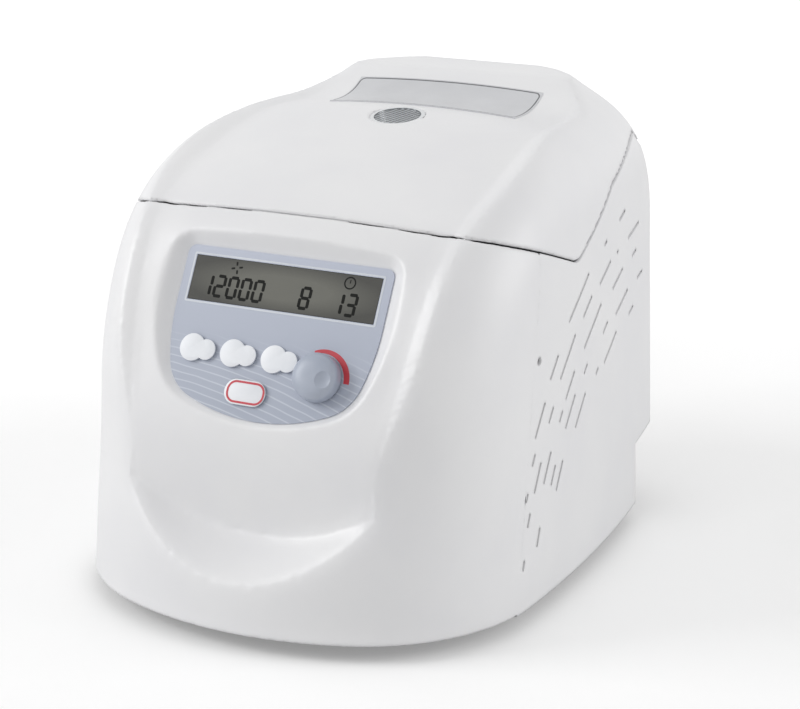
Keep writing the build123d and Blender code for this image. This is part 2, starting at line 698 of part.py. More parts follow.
def deck_parts(inner):
    """Sheet deck with its lock ledge and rear riser, and the bowl it carries."""
    low = DECK_Z - DECK_THICKNESS
    ledge = DECK_LEDGE_Z - DECK_THICKNESS
    rear_y = FRONT_Y + DECK_REAR_SETBACK
    room = inner - block((-FAR, FAR), (rear_y + DECK_THICKNESS, FAR), (0, FAR))
    room -= pocket(-WALL - SEAT_GAP, POCKET_GAP + SEAT_GAP)
    upper = side_prism(
        [
            (RISER_Y - FAR, DECK_LEDGE_Z),
            (RISER_Y + DECK_THICKNESS, DECK_LEDGE_Z),
            (RISER_Y + DECK_THICKNESS, DECK_Z),
            (rear_y, DECK_Z),
            (rear_y, DECK_REAR_Z),
            (rear_y + DECK_THICKNESS, DECK_REAR_Z),
            (rear_y + DECK_THICKNESS, low),
            (RISER_Y, low),
            (RISER_Y, ledge),
            (RISER_Y - FAR, ledge),
        ]
    )
    deck = (room & upper).solids().sort_by(SortBy.VOLUME)[-1]
    deck -= disc(BOWL_RADIUS + BOWL_WALL + SEAT_GAP, low - 1, DECK_Z + 1, 0, ROTOR_Y)
    front = LOCK_Y - STRIKER_WIDTH / 2 - STRIKER_SWEEP
    rear = LOCK_Y + STRIKER_WIDTH / 2 + 1
    deck -= block((-STRIKER_THICKNESS, STRIKER_THICKNESS), (front, rear), (ledge - 1, FAR))
    write(deck, "top_deck")
    wall = BOWL_RADIUS + BOWL_WALL
    top = DECK_Z + BOWL_WALL
    bowl = disc(wall, BOWL_FLOOR_Z - BOWL_WALL, top, 0, ROTOR_Y)
    bowl += disc(wall + BOWL_FLANGE, DECK_Z, top, 0, ROTOR_Y)
    bowl -= disc(BOWL_RADIUS, BOWL_FLOOR_Z, top, 0, ROTOR_Y)
    bowl -= disc(BOWL_HOLE_RADIUS, BOWL_FLOOR_Z - BOWL_WALL, BOWL_FLOOR_Z, 0, ROTOR_Y)
    bowl = bowl.solid()
    rim = bowl.edges().filter_by(GeomType.CIRCLE).group_by(Axis.Z)
    bowl = bowl.fillet(BOWL_CORNER, rim[1].filter_by(lambda edge: edge.radius > ROTOR_RADIUS))
    write(bowl, "bowl")


def liner_parts(inner):
    """Liner tray under the lid, its seal, its screws, and the striker of the lock."""
    floor_top = LINER_Z + LINER_THICKNESS
    rear_y = FRONT_Y + LINER_REAR_SETBACK
    under = above_parting(PARTING_GAP + LINER_RISE, rear_y)
    over = above_parting(PARTING_GAP + LINER_RISE + LINER_THICKNESS, rear_y + 1)
    sheet = inner & (under - over)
    cup = disc(LINER_RADIUS, LINER_Z, FAR, 0, ROTOR_Y) & inner
    core = disc(LINER_RADIUS - LINER_THICKNESS, floor_top, FAR, 0, ROTOR_Y)
    wall = (cup - core) - over
    liner = (sheet - disc(LINER_RADIUS, 0, FAR, 0, ROTOR_Y)) + wall
    liner = liner.solids().sort_by(SortBy.VOLUME)[-1]
    striker = block(
        (-STRIKER_THICKNESS / 2, STRIKER_THICKNESS / 2),
        (LOCK_Y - STRIKER_WIDTH / 2, LOCK_Y + STRIKER_WIDTH / 2),
        (STRIKER_BOTTOM_Z, FAR),
    )
    striker = striker & inner
    liner -= striker
    half = STRIKER_WINDOW / 2
    striker -= block((-FAR, FAR), (LOCK_Y - half, LOCK_Y + half), (LOCK_Z - half, LOCK_Z + half))
    liner -= disc(WINDOW_RADIUS, LINER_Z, floor_top, 0, ROTOR_Y)
    screws = []
    for x, y in liner_bosses():
        liner -= disc(SCREW_RADIUS + SCREW_CLEARANCE, LINER_Z, floor_top, x, y)
        screws.append(screw(x, y, LINER_Z))
    write(liner, "lid_liner")
    write(striker, "lid_striker")
    write(screws, "liner_screws")
    seal_top = LINER_Z
    seal_low = DECK_Z + BOWL_WALL + SEAT_GAP
    outer_radius = LINER_RADIUS - 1
    seal = ring(outer_radius, outer_radius - GASKET_WIDTH, seal_low, seal_top, 0, ROTOR_Y)
    write(seal, "lid_gasket")


def screw(x, y, seat):
    """A screw driven upward, its head below the seat."""
    head = disc(SCREW_HEAD_RADIUS, seat - SCREW_HEAD_HEIGHT, seat, x, y)
    shank = disc(SCREW_RADIUS, seat, seat + SCREW_LENGTH, x, y)
    drive = Pos(x, y, seat - SCREW_HEAD_HEIGHT) * Box(SCREW_RADIUS, SCREW_RADIUS, SCREW_HEAD_HEIGHT)
    return head + shank - drive


def window_parts():
    """Window of the lid with its rim, the sight tube below it, and the bare lid plate."""
    place = floor_plane(ROTOR_SETBACK).location
    seat = WINDOW_RADIUS + WINDOW_RIM
    rim = Circle(seat).face() - Circle(WINDOW_RADIUS).face()
    window_ring = place * slab(rim.face(), -WINDOW_GLASS, WINDOW_RIM_PROUD)
    write(window_ring, "window_ring")
    glass = Circle(WINDOW_RADIUS - SHAFT_CLEARANCE).face()
    write(place * slab(glass, -WINDOW_GLASS, 0), "window_lens")
    tube_face = Circle(WINDOW_RADIUS + TUBE_WALL).face() - Circle(WINDOW_RADIUS).face()
    tube = Pos(0, ROTOR_Y, 0) * slab(tube_face.face(), LINER_Z + LINER_THICKNESS, FAR)
    roof = place * slab(Circle(FAR / 4).face(), -WALL - SEAT_GAP, FAR)
    write((tube - roof).solids().sort_by(SortBy.VOLUME)[-1], "sight_tube")
    plate_place = floor_plane(PLATE_SETBACK).location
    plate = plate_place * Box(PLATE_LENGTH, PLATE_WIDTH, 2 * CHANNEL_HEIGHT)
    plate = plate & (channel(-SHAFT_CLEARANCE) - channel(-SHAFT_CLEARANCE - PLATE_THICKNESS))
    write(plate, "lid_plate")


def hinge_parts(inner):
    """Two knuckle brackets on the rear wall and their pins."""
    half = HINGE_KNUCKLE_LENGTH / 2
    shelf_z = HINGE_PLATE_TOP_Z - HINGE_NECK
    neck_y = HINGE_Y - HINGE_NECK
    brackets = []
    pins = []
    for x in (-HINGE_X, HINGE_X):
        across = (x - half, x + half)
        plate_room = block(across, (HINGE_Y, FAR), (HINGE_PLATE_BOTTOM_Z, HINGE_PLATE_TOP_Z))
        plate = (inner & plate_room) - Pos(0, -HINGE_PLATE_THICKNESS, 0) * inner
        neck = block(across, (neck_y, HINGE_Y), (shelf_z, HINGE_Z))
        shelf = block(across, (neck_y, FAR), (shelf_z, HINGE_PLATE_TOP_Z))
        knuckle = bar(HINGE_KNUCKLE_RADIUS, *across, HINGE_Y, HINGE_Z)
        bracket = plate + neck + (shelf & inner) + knuckle
        bracket -= bar(HINGE_PIN_RADIUS + SHAFT_CLEARANCE / 2, *across, HINGE_Y, HINGE_Z)
        brackets.append(bracket)
        pin_half = HINGE_PIN_LENGTH / 2
        pins.append(bar(HINGE_PIN_RADIUS, x - pin_half, x + pin_half, HINGE_Y, HINGE_Z))
    write(brackets, "hinge_brackets")
    write(pins, "hinge_pins")


def lever_arm(y, reach):
    """One arm of the release lever with the slot that takes a pin."""
    length = abs(reach)
    side = reach / length
    arm = block(
        (LEVER_X - LEVER_WIDTH / 2, LEVER_X + LEVER_WIDTH / 2),
        (y, y + LEVER_THICKNESS),
        sorted((LEVER_Z, LEVER_Z + side * (length + LEVER_SLOT_LENGTH / 2))),
    )
    end = LEVER_Z + reach
    slot = block(
        (LEVER_X - LEVER_SLOT / 2, LEVER_X + LEVER_SLOT / 2),
        (y, y + LEVER_THICKNESS),
        sorted((end - side * LEVER_SLOT_LENGTH / 2, end + side * LEVER_SLOT_LENGTH)),
    )
    return arm - slot


def lock_parts():
    """Lid lock under the deck ledge and the lever that frees it from the side hole."""
    ceiling = DECK_LEDGE_Z - DECK_THICKNESS
    depth = (LOCK_Y - CASE_HALF_WIDTH, LOCK_Y + CASE_HALF_WIDTH)
    gap = BOLT_RADIUS + SHAFT_CLEARANCE
    case = block((BOLT_TIP_X, CASE_END_X), depth, (CASE_BOTTOM_Z, ceiling))
    write(case - bar(gap, 0, CASE_END_X, LOCK_Y, LOCK_Z), "lock_case")
    sweep = BOLT_TRAVEL * (1 + LEVER_SLOT_LENGTH / 2 / (LOCK_Z - LEVER_Z))
    coil_end = LEVER_X - LEVER_WIDTH / 2 - sweep - SIDE_CLEARANCE
    coil = block((SOLENOID_START_X, coil_end), depth, (CASE_BOTTOM_Z, ceiling))
    write(coil - bar(gap, SOLENOID_START_X, coil_end, LOCK_Y, LOCK_Z), "lock_solenoid")
    upper_y = LOCK_Y + BOLT_RADIUS + SIDE_CLEARANCE
    bolt = bar(BOLT_RADIUS, BOLT_TIP_X, BOLT_END_X, LOCK_Y, LOCK_Z)
    bolt += axle(LEVER_PIN_RADIUS, LOCK_Y, upper_y + LEVER_THICKNESS, LEVER_X, LOCK_Z)
    write(bolt, "lock_bolt")
    rod_y = FRONT_Y + RELEASE_SETBACK
    lower_y = rod_y - ROD_RADIUS - SIDE_CLEARANCE - LEVER_THICKNESS
    lever = axle(LEVER_SHAFT_RADIUS, upper_y, lower_y + LEVER_THICKNESS, LEVER_X, LEVER_Z)
    for y, z in ((upper_y, LOCK_Z), (lower_y, RELEASE_Z)):
        lever += axle(LEVER_WIDTH / 2, y, y + LEVER_THICKNESS, LEVER_X, LEVER_Z)
        lever += lever_arm(y, z - LEVER_Z)
    write(lever, "release_lever")
    rod = bar(ROD_RADIUS, LEVER_X - ROD_RADIUS, ROD_END_X, rod_y, RELEASE_Z)
    rod += axle(LEVER_PIN_RADIUS, lower_y, rod_y, LEVER_X, RELEASE_Z)
    write(rod, "release_rod")
    roof = DECK_Z - DECK_THICKNESS
    plate = (roof - CHEEK_THICKNESS, roof)
    cheek_y = upper_y + LEVER_THICKNESS + SIDE_CLEARANCE
    far_y = lower_y - SIDE_CLEARANCE - CHEEK_THICKNESS
    guide = (GUIDE_X, GUIDE_X + CHEEK_THICKNESS)
    flange = block((LEVER_X - LEVER_WIDTH, guide[1]), (cheek_y, rod_y + LEVER_WIDTH), plate)
    bracket = flange
    for y in (cheek_y, far_y):
        cheek = block(
            (LEVER_X - LEVER_WIDTH, LEVER_X + LEVER_WIDTH),
            (y, y + CHEEK_THICKNESS),
            (LEVER_Z - LEVER_WIDTH, roof),
        )
        bracket += cheek
    guide_depth = (rod_y - LEVER_WIDTH, rod_y + LEVER_WIDTH)
    bracket += block(guide, guide_depth, (RELEASE_Z - LEVER_WIDTH, roof))
    bracket -= axle(LEVER_SHAFT_RADIUS + SHAFT_CLEARANCE, cheek_y, lower_y, LEVER_X, LEVER_Z)
    bracket -= bar(ROD_RADIUS + SHAFT_CLEARANCE, *guide, rod_y, RELEASE_Z)
    write(bracket, "lever_bracket")


def pillars():
    """Places of the four pillars that carry the motor."""
    spread = (-PILLAR_SPREAD, PILLAR_SPREAD)
    return [(x, ROTOR_Y + y) for x in spread for y in spread]


def drive_parts():
    """Motor hung from a plate that rests on soft mounts and pillars."""
    can = disc(MOTOR_RADIUS, MOTOR_BOTTOM_Z, MOTOR_TOP_Z, 0, ROTOR_Y)
    can -= disc(SHAFT_RADIUS + SHAFT_CLEARANCE, SHAFT_BOTTOM_Z, MOTOR_TOP_Z, 0, ROTOR_Y)
    groove = ring(
        MOTOR_RADIUS, MOTOR_RADIUS - WALL, MOTOR_BOTTOM_Z + MOTOR_RIM, MOTOR_BOTTOM_Z + 2 * MOTOR_RIM,
        0, ROTOR_Y,
    )
    write(can - groove, "motor_can")
    plate = block(
        (-BRACKET_HALF, BRACKET_HALF),
        (ROTOR_Y - BRACKET_HALF, ROTOR_Y + BRACKET_HALF),
        (MOTOR_TOP_Z, MOTOR_TOP_Z + BRACKET_THICKNESS),
    )
    plate = plate.fillet(DAMPER_RADIUS, plate.edges().filter_by(Axis.Z))
    plate -= disc(SHAFT_RADIUS + WALL, MOTOR_TOP_Z, MOTOR_TOP_Z + BRACKET_THICKNESS, 0, ROTOR_Y)
    write(plate, "motor_bracket")
    dampers = []
    posts = []
    for x, y in pillars():
        low = MOTOR_TOP_Z - DAMPER_HEIGHT
        damper = disc(DAMPER_RADIUS, low, MOTOR_TOP_Z, x, y)
        waist_low = low + DAMPER_HEIGHT / 3
        waist_top = MOTOR_TOP_Z - DAMPER_HEIGHT / 3
        damper -= ring(DAMPER_RADIUS, DAMPER_RADIUS - DAMPER_WAIST, waist_low, waist_top, x, y)
        dampers.append(damper)
        posts.append(disc(PILLAR_RADIUS, INNER_BASE_Z, low, x, y))
    write(dampers, "motor_dampers")
    write(posts, "motor_pillars")
    shaft = disc(SHAFT_RADIUS, SHAFT_BOTTOM_Z + SEAT_GAP, SHAFT_TOP_Z, 0, ROTOR_Y)
    write(shaft, "motor_shaft")


def spokes(shape):
    """Copies of a shape spread evenly round the rotor axis."""
    step = 360 / CAPILLARY_COUNT
    return [Pos(0, ROTOR_Y, 0) * Rot(0, 0, i * step) * shape for i in range(CAPILLARY_COUNT)]


def rotor_parts():
    """Slotted rotor plate, its rim cushion, the capillaries, the cover and its knob."""
    top = ROTOR_Z + ROTOR_THICKNESS
    floor = top - SLOT_DEPTH
    tube_end = ROTOR_HUB_RADIUS + CAPILLARY_LENGTH
    bore = SHAFT_RADIUS + SHAFT_CLEARANCE
    plate = disc(ROTOR_RADIUS, ROTOR_Z, top, 0, ROTOR_Y)
    cushion_radius = tube_end + CUSHION_THICKNESS
    plate -= ring(cushion_radius, tube_end, floor, top, 0, ROTOR_Y)
    plate -= disc(bore, ROTOR_Z, top, 0, ROTOR_Y)
    hollow = ring(tube_end - WALL, ROTOR_HUB_RADIUS + WALL, ROTOR_Z, floor - WALL, 0, ROTOR_Y)
    plate -= hollow
    slot = block((ROTOR_HUB_RADIUS, tube_end), (-SLOT_WIDTH / 2, SLOT_WIDTH / 2), (floor, top))
    write(plate - spokes(slot), "rotor_plate")
    write(ring(cushion_radius, tube_end, floor, top, 0, ROTOR_Y), "rotor_cushion")
    center = floor + CAPILLARY_RADIUS
    ends = (ROTOR_HUB_RADIUS + SHAFT_CLEARANCE, tube_end - SHAFT_CLEARANCE)
    tube = bar(CAPILLARY_RADIUS, *ends, 0, center) - bar(CAPILLARY_BORE_RADIUS, *ends, 0, center)
    write(spokes(tube), "capillary_tubes")
    cover_top = top + COVER_THICKNESS
    cover = disc(COVER_RADIUS, top, cover_top, 0, ROTOR_Y)
    cover += ring(COVER_RADIUS, COVER_RADIUS - WALL, top, cover_top + WALL, 0, ROTOR_Y)
    write(cover - disc(bore, top, cover_top, 0, ROTOR_Y), "rotor_cover")
    knob = disc(ROTOR_KNOB_RADIUS, cover_top, cover_top + ROTOR_KNOB_HEIGHT, 0, ROTOR_Y)
    step = 360 / ROTOR_KNOB_FLUTES
    for i in range(ROTOR_KNOB_FLUTES):
        place = Pos(0, ROTOR_Y, cover_top) * Rot(0, 0, i * step) * Pos(ROTOR_KNOB_RADIUS, 0, 0)
        knob -= place * disc(FLUTE_RADIUS, WALL, ROTOR_KNOB_HEIGHT)
    knob -= disc(bore, cover_top, SHAFT_TOP_Z + SEAT_GAP, 0, ROTOR_Y)
    write(knob, "rotor_knob")


def base_parts():
    """Base plate with feet and screws, and the main board on its standoffs."""
    outline = hull_section(BASE_Z, WALL + BASE_GAP)
    base = Solid.extrude(Face(outline), Vector(0, 0, BASE_THICKNESS))
    base -= block((BAY_LEFT_X - WALL - SEAT_GAP, FAR), (BAY_Y - WALL - SEAT_GAP, FAR), (0, FAR))
    screws = []
    for x, y in bosses():
        base -= disc(SCREW_RADIUS + SCREW_CLEARANCE, BASE_Z, INNER_BASE_Z, x, y)
        screws.append(screw(x, y, BASE_Z))
    rubber = []
    pegs = []
    for x, y in feet():
        base -= disc(SCREW_RADIUS + SCREW_CLEARANCE, BASE_Z, INNER_BASE_Z, x, y)
        foot = disc(FOOT_RADIUS, 0, BASE_Z, x, y)
        foot = foot.chamfer(1, None, foot.edges().sort_by(Axis.Z)[:1])
        foot -= disc(SCREW_HEAD_RADIUS + SCREW_CLEARANCE, 0, FOOT_POCKET_DEPTH, x, y)
        foot -= disc(SCREW_RADIUS + SCREW_CLEARANCE, FOOT_POCKET_DEPTH, BASE_Z, x, y)
        rubber.append(foot)
        pegs.append(screw(x, y, FOOT_POCKET_DEPTH))
    write(base, "base_plate")
    write(screws, "housing_screws")
    write(rubber, "rubber_feet")
    write(pegs, "foot_screws")
    width, depth = MAIN_BOARD_SIZE
    board_z = INNER_BASE_Z + STANDOFF_HEIGHT
    y = FRONT_Y + MAIN_BOARD_SETBACK
    across = (-width / 2, width / 2)
    along = (y - depth / 2, y + depth / 2)
    board = block(across, along, (board_z, board_z + BOARD_THICKNESS))
    top = board_z + BOARD_THICKNESS
    for x, size, height in MAIN_BOARD_BLOCKS:
        board += block((x - size / 2, x + size / 2), (y - size / 2, y + size / 2), (top, top + height))
    write(board, "main_board")
    inset = 2 * STANDOFF_RADIUS
    posts = [
        disc(STANDOFF_RADIUS, INNER_BASE_Z, board_z, x, spot)
        for x in (across[0] + inset, across[1] - inset)
        for spot in (along[0] + inset, along[1] - inset)
    ]
    write(posts, "board_standoffs")


def panel_parts():
    """Overlay, display, keys, dial and the boards behind them."""
    overlay = on_panel(slab(panel_face(0), 0, OVERLAY_THICKNESS)) - panel_openings(0, OVERLAY_THICKNESS)
    overlay = overlay.solids().sort_by(SortBy.VOLUME)[-1]
    write(overlay, "control_overlay")
    glass = Rectangle(DISPLAY_WIDTH, DISPLAY_HEIGHT).face()
    glass_back = OVERLAY_THICKNESS - GLASS_THICKNESS
    write(on_panel(slab(glass, glass_back, OVERLAY_THICKNESS)), "display_window")
    module = Rectangle(DISPLAY_WIDTH - 2 * SEAT_GAP, DISPLAY_HEIGHT - 2 * SEAT_GAP).face()
    write(on_panel(slab(module, -BOARD_DEPTH, glass_back)), "display_module")
    top = OVERLAY_THICKNESS + BUTTON_PROUD
    flange_top = -WALL - SEAT_GAP
    flange_low = flange_top - BUTTON_FLANGE
    switches = []
    for name, outline, x, drop in keys():
        flange = slab(outline(BUTTON_GAP + BUTTON_FLANGE), flange_low, flange_top)
        write(on_panel(slab(outline(0), flange_top, top) + flange, x, drop), name)
        switch_top = flange_low - BUTTON_TRAVEL - SEAT_GAP
        switch = slab(Circle(SWITCH_RADIUS).face(), -BOARD_DEPTH, switch_top)
        switches.append(on_panel(switch, x, drop))
    write(switches, "button_switches")
    body = slab(Rectangle(ENCODER_SIZE, ENCODER_SIZE).face(), -BOARD_DEPTH, -BOARD_DEPTH + ENCODER_HEIGHT)
    shaft_gap = Circle(ENCODER_SHAFT_RADIUS + SHAFT_CLEARANCE).face()
    body -= slab(shaft_gap, -BOARD_DEPTH, -BOARD_DEPTH + ENCODER_HEIGHT)
    write(on_panel(body, DIAL_X, DIAL_DROP), "encoder")
    low = OVERLAY_THICKNESS + DIAL_LIFT
    knob = slab(Circle(DIAL_RADIUS).face(), low, low + DIAL_HEIGHT)
    crown = knob.edges().filter_by(GeomType.CIRCLE).sort_by(Axis.Z)[-1:]
    knob = knob.fillet(DIAL_ROUND, crown)
    dimple = slab(Circle(DIMPLE_RADIUS).face(), low + DIAL_HEIGHT - DIMPLE_DEPTH, low + DIAL_HEIGHT)
    knob -= dimple
    stem = slab(Circle(ENCODER_SHAFT_RADIUS).face(), -BOARD_DEPTH + SEAT_GAP, low)
    write(on_panel(knob + stem, DIAL_X, DIAL_DROP), "control_dial")
    board = Rectangle(2 * BOARD_HALF_WIDTH, BOARD_TOP + BOARD_BOTTOM)
    board = (Pos(0, (BOARD_TOP - BOARD_BOTTOM) / 2, 0) * board).face() & panel_face(-BUTTON_FLANGE)
    write(on_panel(slab(board.face(), -BOARD_DEPTH - BOARD_THICKNESS, -BOARD_DEPTH)), "control_board")


def window_block(x, z, width, height, along):
    """A box given by its middle across and up, its size, and its limits along the depth."""
    return block((x - width / 2, x + width / 2), along, (z - height / 2, z + height / 2))


def mains_parts():
    """Mains socket with its pins, fuse drawer and rocker switch in the rear bay."""
    front = BAY_Y + FLANGE_THICKNESS
    floor = BAY_Y - INLET_DEPTH + WALL
    inlet_body, switch_body = mains_holes(0)
    half = INLET_WIDTH / 2 + INLET_FLANGE
    low = FUSE_Z - FUSE_HEIGHT / 2 - INLET_FLANGE / 2
    top = INLET_Z + INLET_HEIGHT / 2 + INLET_FLANGE / 2
    inlet = inlet_body + block((INLET_X - half, INLET_X + half), (BAY_Y, front), (low, top))
    inlet -= window_block(INLET_X, INLET_Z, SOCKET_WIDTH, SOCKET_HEIGHT, (floor, front))
    slide_gap = 2 * SHAFT_CLEARANCE
    channel_size = (FUSE_WIDTH + slide_gap, FUSE_HEIGHT + slide_gap)
    inlet -= window_block(INLET_X, FUSE_Z, *channel_size, (floor, front))
    write(inlet, "power_inlet")
    pins = [
        window_block(INLET_X + side * PIN_SPREAD, INLET_Z + rise, PIN_WIDTH, PIN_HEIGHT, (floor, BAY_Y))
        for side, rise in ((-1, -PIN_RISE), (0, PIN_RISE), (1, -PIN_RISE))
    ]
    write(pins, "inlet_pins")
    drawer = window_block(INLET_X, FUSE_Z, FUSE_WIDTH, FUSE_HEIGHT, (floor + SEAT_GAP, front))
    lip = window_block(INLET_X, FUSE_Z, FUSE_WIDTH / 2, FUSE_HEIGHT / 2, (front, front + PIN_WIDTH))
    fuse_half = FUSE_WIDTH / 2 - FUSE_WALL
    fuse_y = floor + WALL + FUSE_WALL
    drawer -= bar(FUSE_BORE_RADIUS, INLET_X - fuse_half, INLET_X + fuse_half, fuse_y, FUSE_Z)
    write(drawer + lip, "fuse_drawer")
    frame = switch_body + window_block(SWITCH_X, SWITCH_Z, SWITCH_WIDTH, SWITCH_HEIGHT, (BAY_Y, front))
    pivot_y = front - ROCKER_BACK / 2
    well_back = pivot_y - ROCKER_BACK - INLET_FLANGE
    well_size = (ROCKER_WIDTH + 2 * SIDE_CLEARANCE, ROCKER_HEIGHT + 4 * SIDE_CLEARANCE)
    frame -= window_block(SWITCH_X, SWITCH_Z, *well_size, (well_back, front))
    pin_half = SWITCH_WIDTH / 2 - INLET_FLANGE
    pin = (SWITCH_X - pin_half, SWITCH_X + pin_half)
    frame -= bar(ROCKER_PIN_RADIUS + SHAFT_CLEARANCE, *pin, pivot_y, SWITCH_Z)
    write(frame, "switch_frame")
    half_height = ROCKER_HEIGHT / 2
    rocker = side_prism(
        [
            (ROCKER_CREST, half_height),
            (ROCKER_BACK / 2, 0),
            (ROCKER_CREST, -half_height),
            (-ROCKER_BACK, ROCKER_BACK - half_height),
            (-ROCKER_BACK, half_height - ROCKER_BACK),
        ],
        ROCKER_WIDTH / 2,
    )
    rocker += bar(ROCKER_PIN_RADIUS, SHAFT_CLEARANCE - pin_half, pin_half - SHAFT_CLEARANCE, 0, 0)
    write(Pos(SWITCH_X, pivot_y, SWITCH_Z) * Rot(ROCKER_TILT, 0, 0) * rocker, "rocker_switch")


def body_parts(outer, inner):
    """The two mouldings of the body."""
    write(housing(outer, inner, above_parting(0)), "housing")
    write(lid_shell(outer, inner, above_parting(PARTING_GAP)), "lid_shell")


def main():
    os.makedirs("parts", exist_ok=True)
    outer = body_form(0)
    inner = body_form(WALL)
    body_parts(outer, inner)
    deck_parts(inner)
    liner_parts(inner)
    window_parts()
    hinge_parts(inner)
    lock_parts()
    drive_parts()
    rotor_parts()
    base_parts()
    panel_parts()
    mains_parts()


if __name__ == "__main__":
    main()
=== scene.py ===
import json
from math import cos, pi, radians, sin

import bpy
from mathutils import Matrix, Vector
from mathutils.kdtree import KDTree


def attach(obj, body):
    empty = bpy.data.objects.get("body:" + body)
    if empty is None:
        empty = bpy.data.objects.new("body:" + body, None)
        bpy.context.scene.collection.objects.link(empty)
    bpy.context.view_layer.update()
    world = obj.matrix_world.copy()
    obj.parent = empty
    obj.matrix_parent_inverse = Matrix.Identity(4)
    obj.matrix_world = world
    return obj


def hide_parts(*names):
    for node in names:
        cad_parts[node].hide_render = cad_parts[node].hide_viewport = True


bl_info = {
    "name": "Hematocrit centrifuge dressing",
    "version": (1, 0, 0),
    "blender": (4, 5, 0),
    "location": "View3D > Sidebar > Centrifuge",
    "description": "Dresses the packed centrifuge with finishes, keys, dial, display and studio",
    "category": "Object",
}

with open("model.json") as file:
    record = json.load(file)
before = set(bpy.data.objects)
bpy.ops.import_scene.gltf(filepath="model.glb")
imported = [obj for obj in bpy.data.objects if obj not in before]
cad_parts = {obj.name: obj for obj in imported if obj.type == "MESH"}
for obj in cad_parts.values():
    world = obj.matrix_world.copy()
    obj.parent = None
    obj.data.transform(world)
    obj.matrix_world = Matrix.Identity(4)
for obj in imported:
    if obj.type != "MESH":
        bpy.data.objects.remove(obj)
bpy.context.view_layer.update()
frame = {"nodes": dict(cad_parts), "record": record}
NODES = frame["nodes"]

# The control panel leans back from the upright by this angle, about the width axis
PANEL_LEAN = radians(28.5)
PANEL_UP = Vector((0.0, sin(PANEL_LEAN), cos(PANEL_LEAN)))
PANEL_OUT = Vector((0.0, -cos(PANEL_LEAN), sin(PANEL_LEAN)))
PANEL_ORIGIN = Vector((0.0, -0.1065, 0.191))
OVERLAY_TOP = 0.0012

# Places of the keys and the dial on the panel: across, and down from the middle of the display
KEY_X = -0.0482
KEY_PITCH = 0.0266
KEY_DROP = 0.0411
START_X = -0.0082
START_DROP = 0.0624
DIAL_X = 0.0355
DIAL_DROP = 0.048

# Heights of a key over the panel: under its cap, over it, and the foot of its stem
KEY_LOW = 0.0021
KEY_TOP = 0.0031
KEY_FOOT = -0.0033

# Outline of a key: a round cap with a lobe beside it, on a round stem; edges rounded
KEY_RADIUS = 0.0080
KEY_LOBE_RADIUS = 0.0060
KEY_LOBE_PLACE = (0.0090, -0.0004)
KEY_STEM = 0.0045
KEY_STEM_GAP = 0.0004
KEY_ROUND = 0.0005

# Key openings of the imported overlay, which the film fills before it gets its own
OPENING_XS = (-0.0487, -0.0225, 0.0037)
OPENING_DROP = 0.040
OPENING_RADIUS = 0.0094
OPENING_LOBE_RADIUS = 0.0061
OPENING_LOBE_X = 0.0066
OPENING_LOBE_Y = 0.0020
START_OPENING_DROP = 0.0618

# Heights and radii of the dial's skirt, then the rise of its dome, and the finger dimple
DIAL_SKIRT = ((0.0020, 0.0135), (0.0034, 0.0139), (0.0078, 0.0136))
DOME_RISE = 0.0060
DOME_STEPS = 11
DOME_STEP_ANGLE = 7.7
DIMPLE_RADIUS = 0.010
DIMPLE_PLACE = (0.0098, -0.0024, 0.0212)

# Parting line between body and lid, seen from the side, as depth and height
PARTING = (
    (-0.484, 0.602),
    (-0.084, 0.226),
    (0.002, 0.197),
    (0.074, 0.227),
    (0.165, 0.247),
)

# Slanted plane between the relaxed front of the body and its slotted rear
SEAM_SPOT = Vector((0.0, -0.0605, 0.153))
SEAM_NORMAL = Vector((0.0, 0.985, -0.172)).normalized()
SEAM_OVERLAP = 0.002

# Mesh sizes of the mouldings and of the form that is relaxed, and the shares of triangles kept
MOULDING_MESH = 0.0014
RELAXED_MESH = 0.002
RELAXING_STEPS = 60
BODY_SHARE = 0.6
LID_SHARE = 0.7

# Faces that turn by less than this are shaded as one smooth surface
SMOOTH_ANGLE = radians(32)

# Middle of the body, from which its outer points face away
BODY_MIDDLE = Vector((0.0, 0.02, 0.14))

# Seven segments of a figure: middle of each one across and up, and whether it stands upright
SEGMENTS = {
    "a": (0.0, 1.0, False),
    "b": (1.0, 0.5, True),
    "c": (1.0, -0.5, True),
    "d": (0.0, -1.0, False),
    "e": (-1.0, -0.5, True),
    "f": (-1.0, 0.5, True),
    "g": (0.0, 0.0, False),
}
FIGURES = {"0": "abcdef", "1": "bc", "2": "abged", "3": "abgcd", "8": "abcdefg"}

# Figures, left edge and baseline drop of each group, on the display's own plane
FIGURE_GROUPS = (("12000", -0.0533, 0.0104), ("8", 0.0108, 0.0106), ("13", 0.0318, 0.0110))

# Proportions of a figure: width, inset and bar as shares of its height, step as one of its width
FIGURE_WIDTH = 0.52
FIGURE_INSET = 0.06
FIGURE_BAR = 0.14
FIGURE_STEP = 1.21
FIGURE_SLANT = 0.09

# Thickness of the figures' bars, and height of the signs over the middle of the display
INK_DEPTH = 0.00006
SIGNS_UP = 0.0082

# Refractive indices
ABS_IOR = 1.53
NYLON_IOR = 1.53
RUBBER_IOR = 1.52
POLYCARBONATE_IOR = 1.58
POLYESTER_IOR = 1.57
GLASS_IOR = 1.5

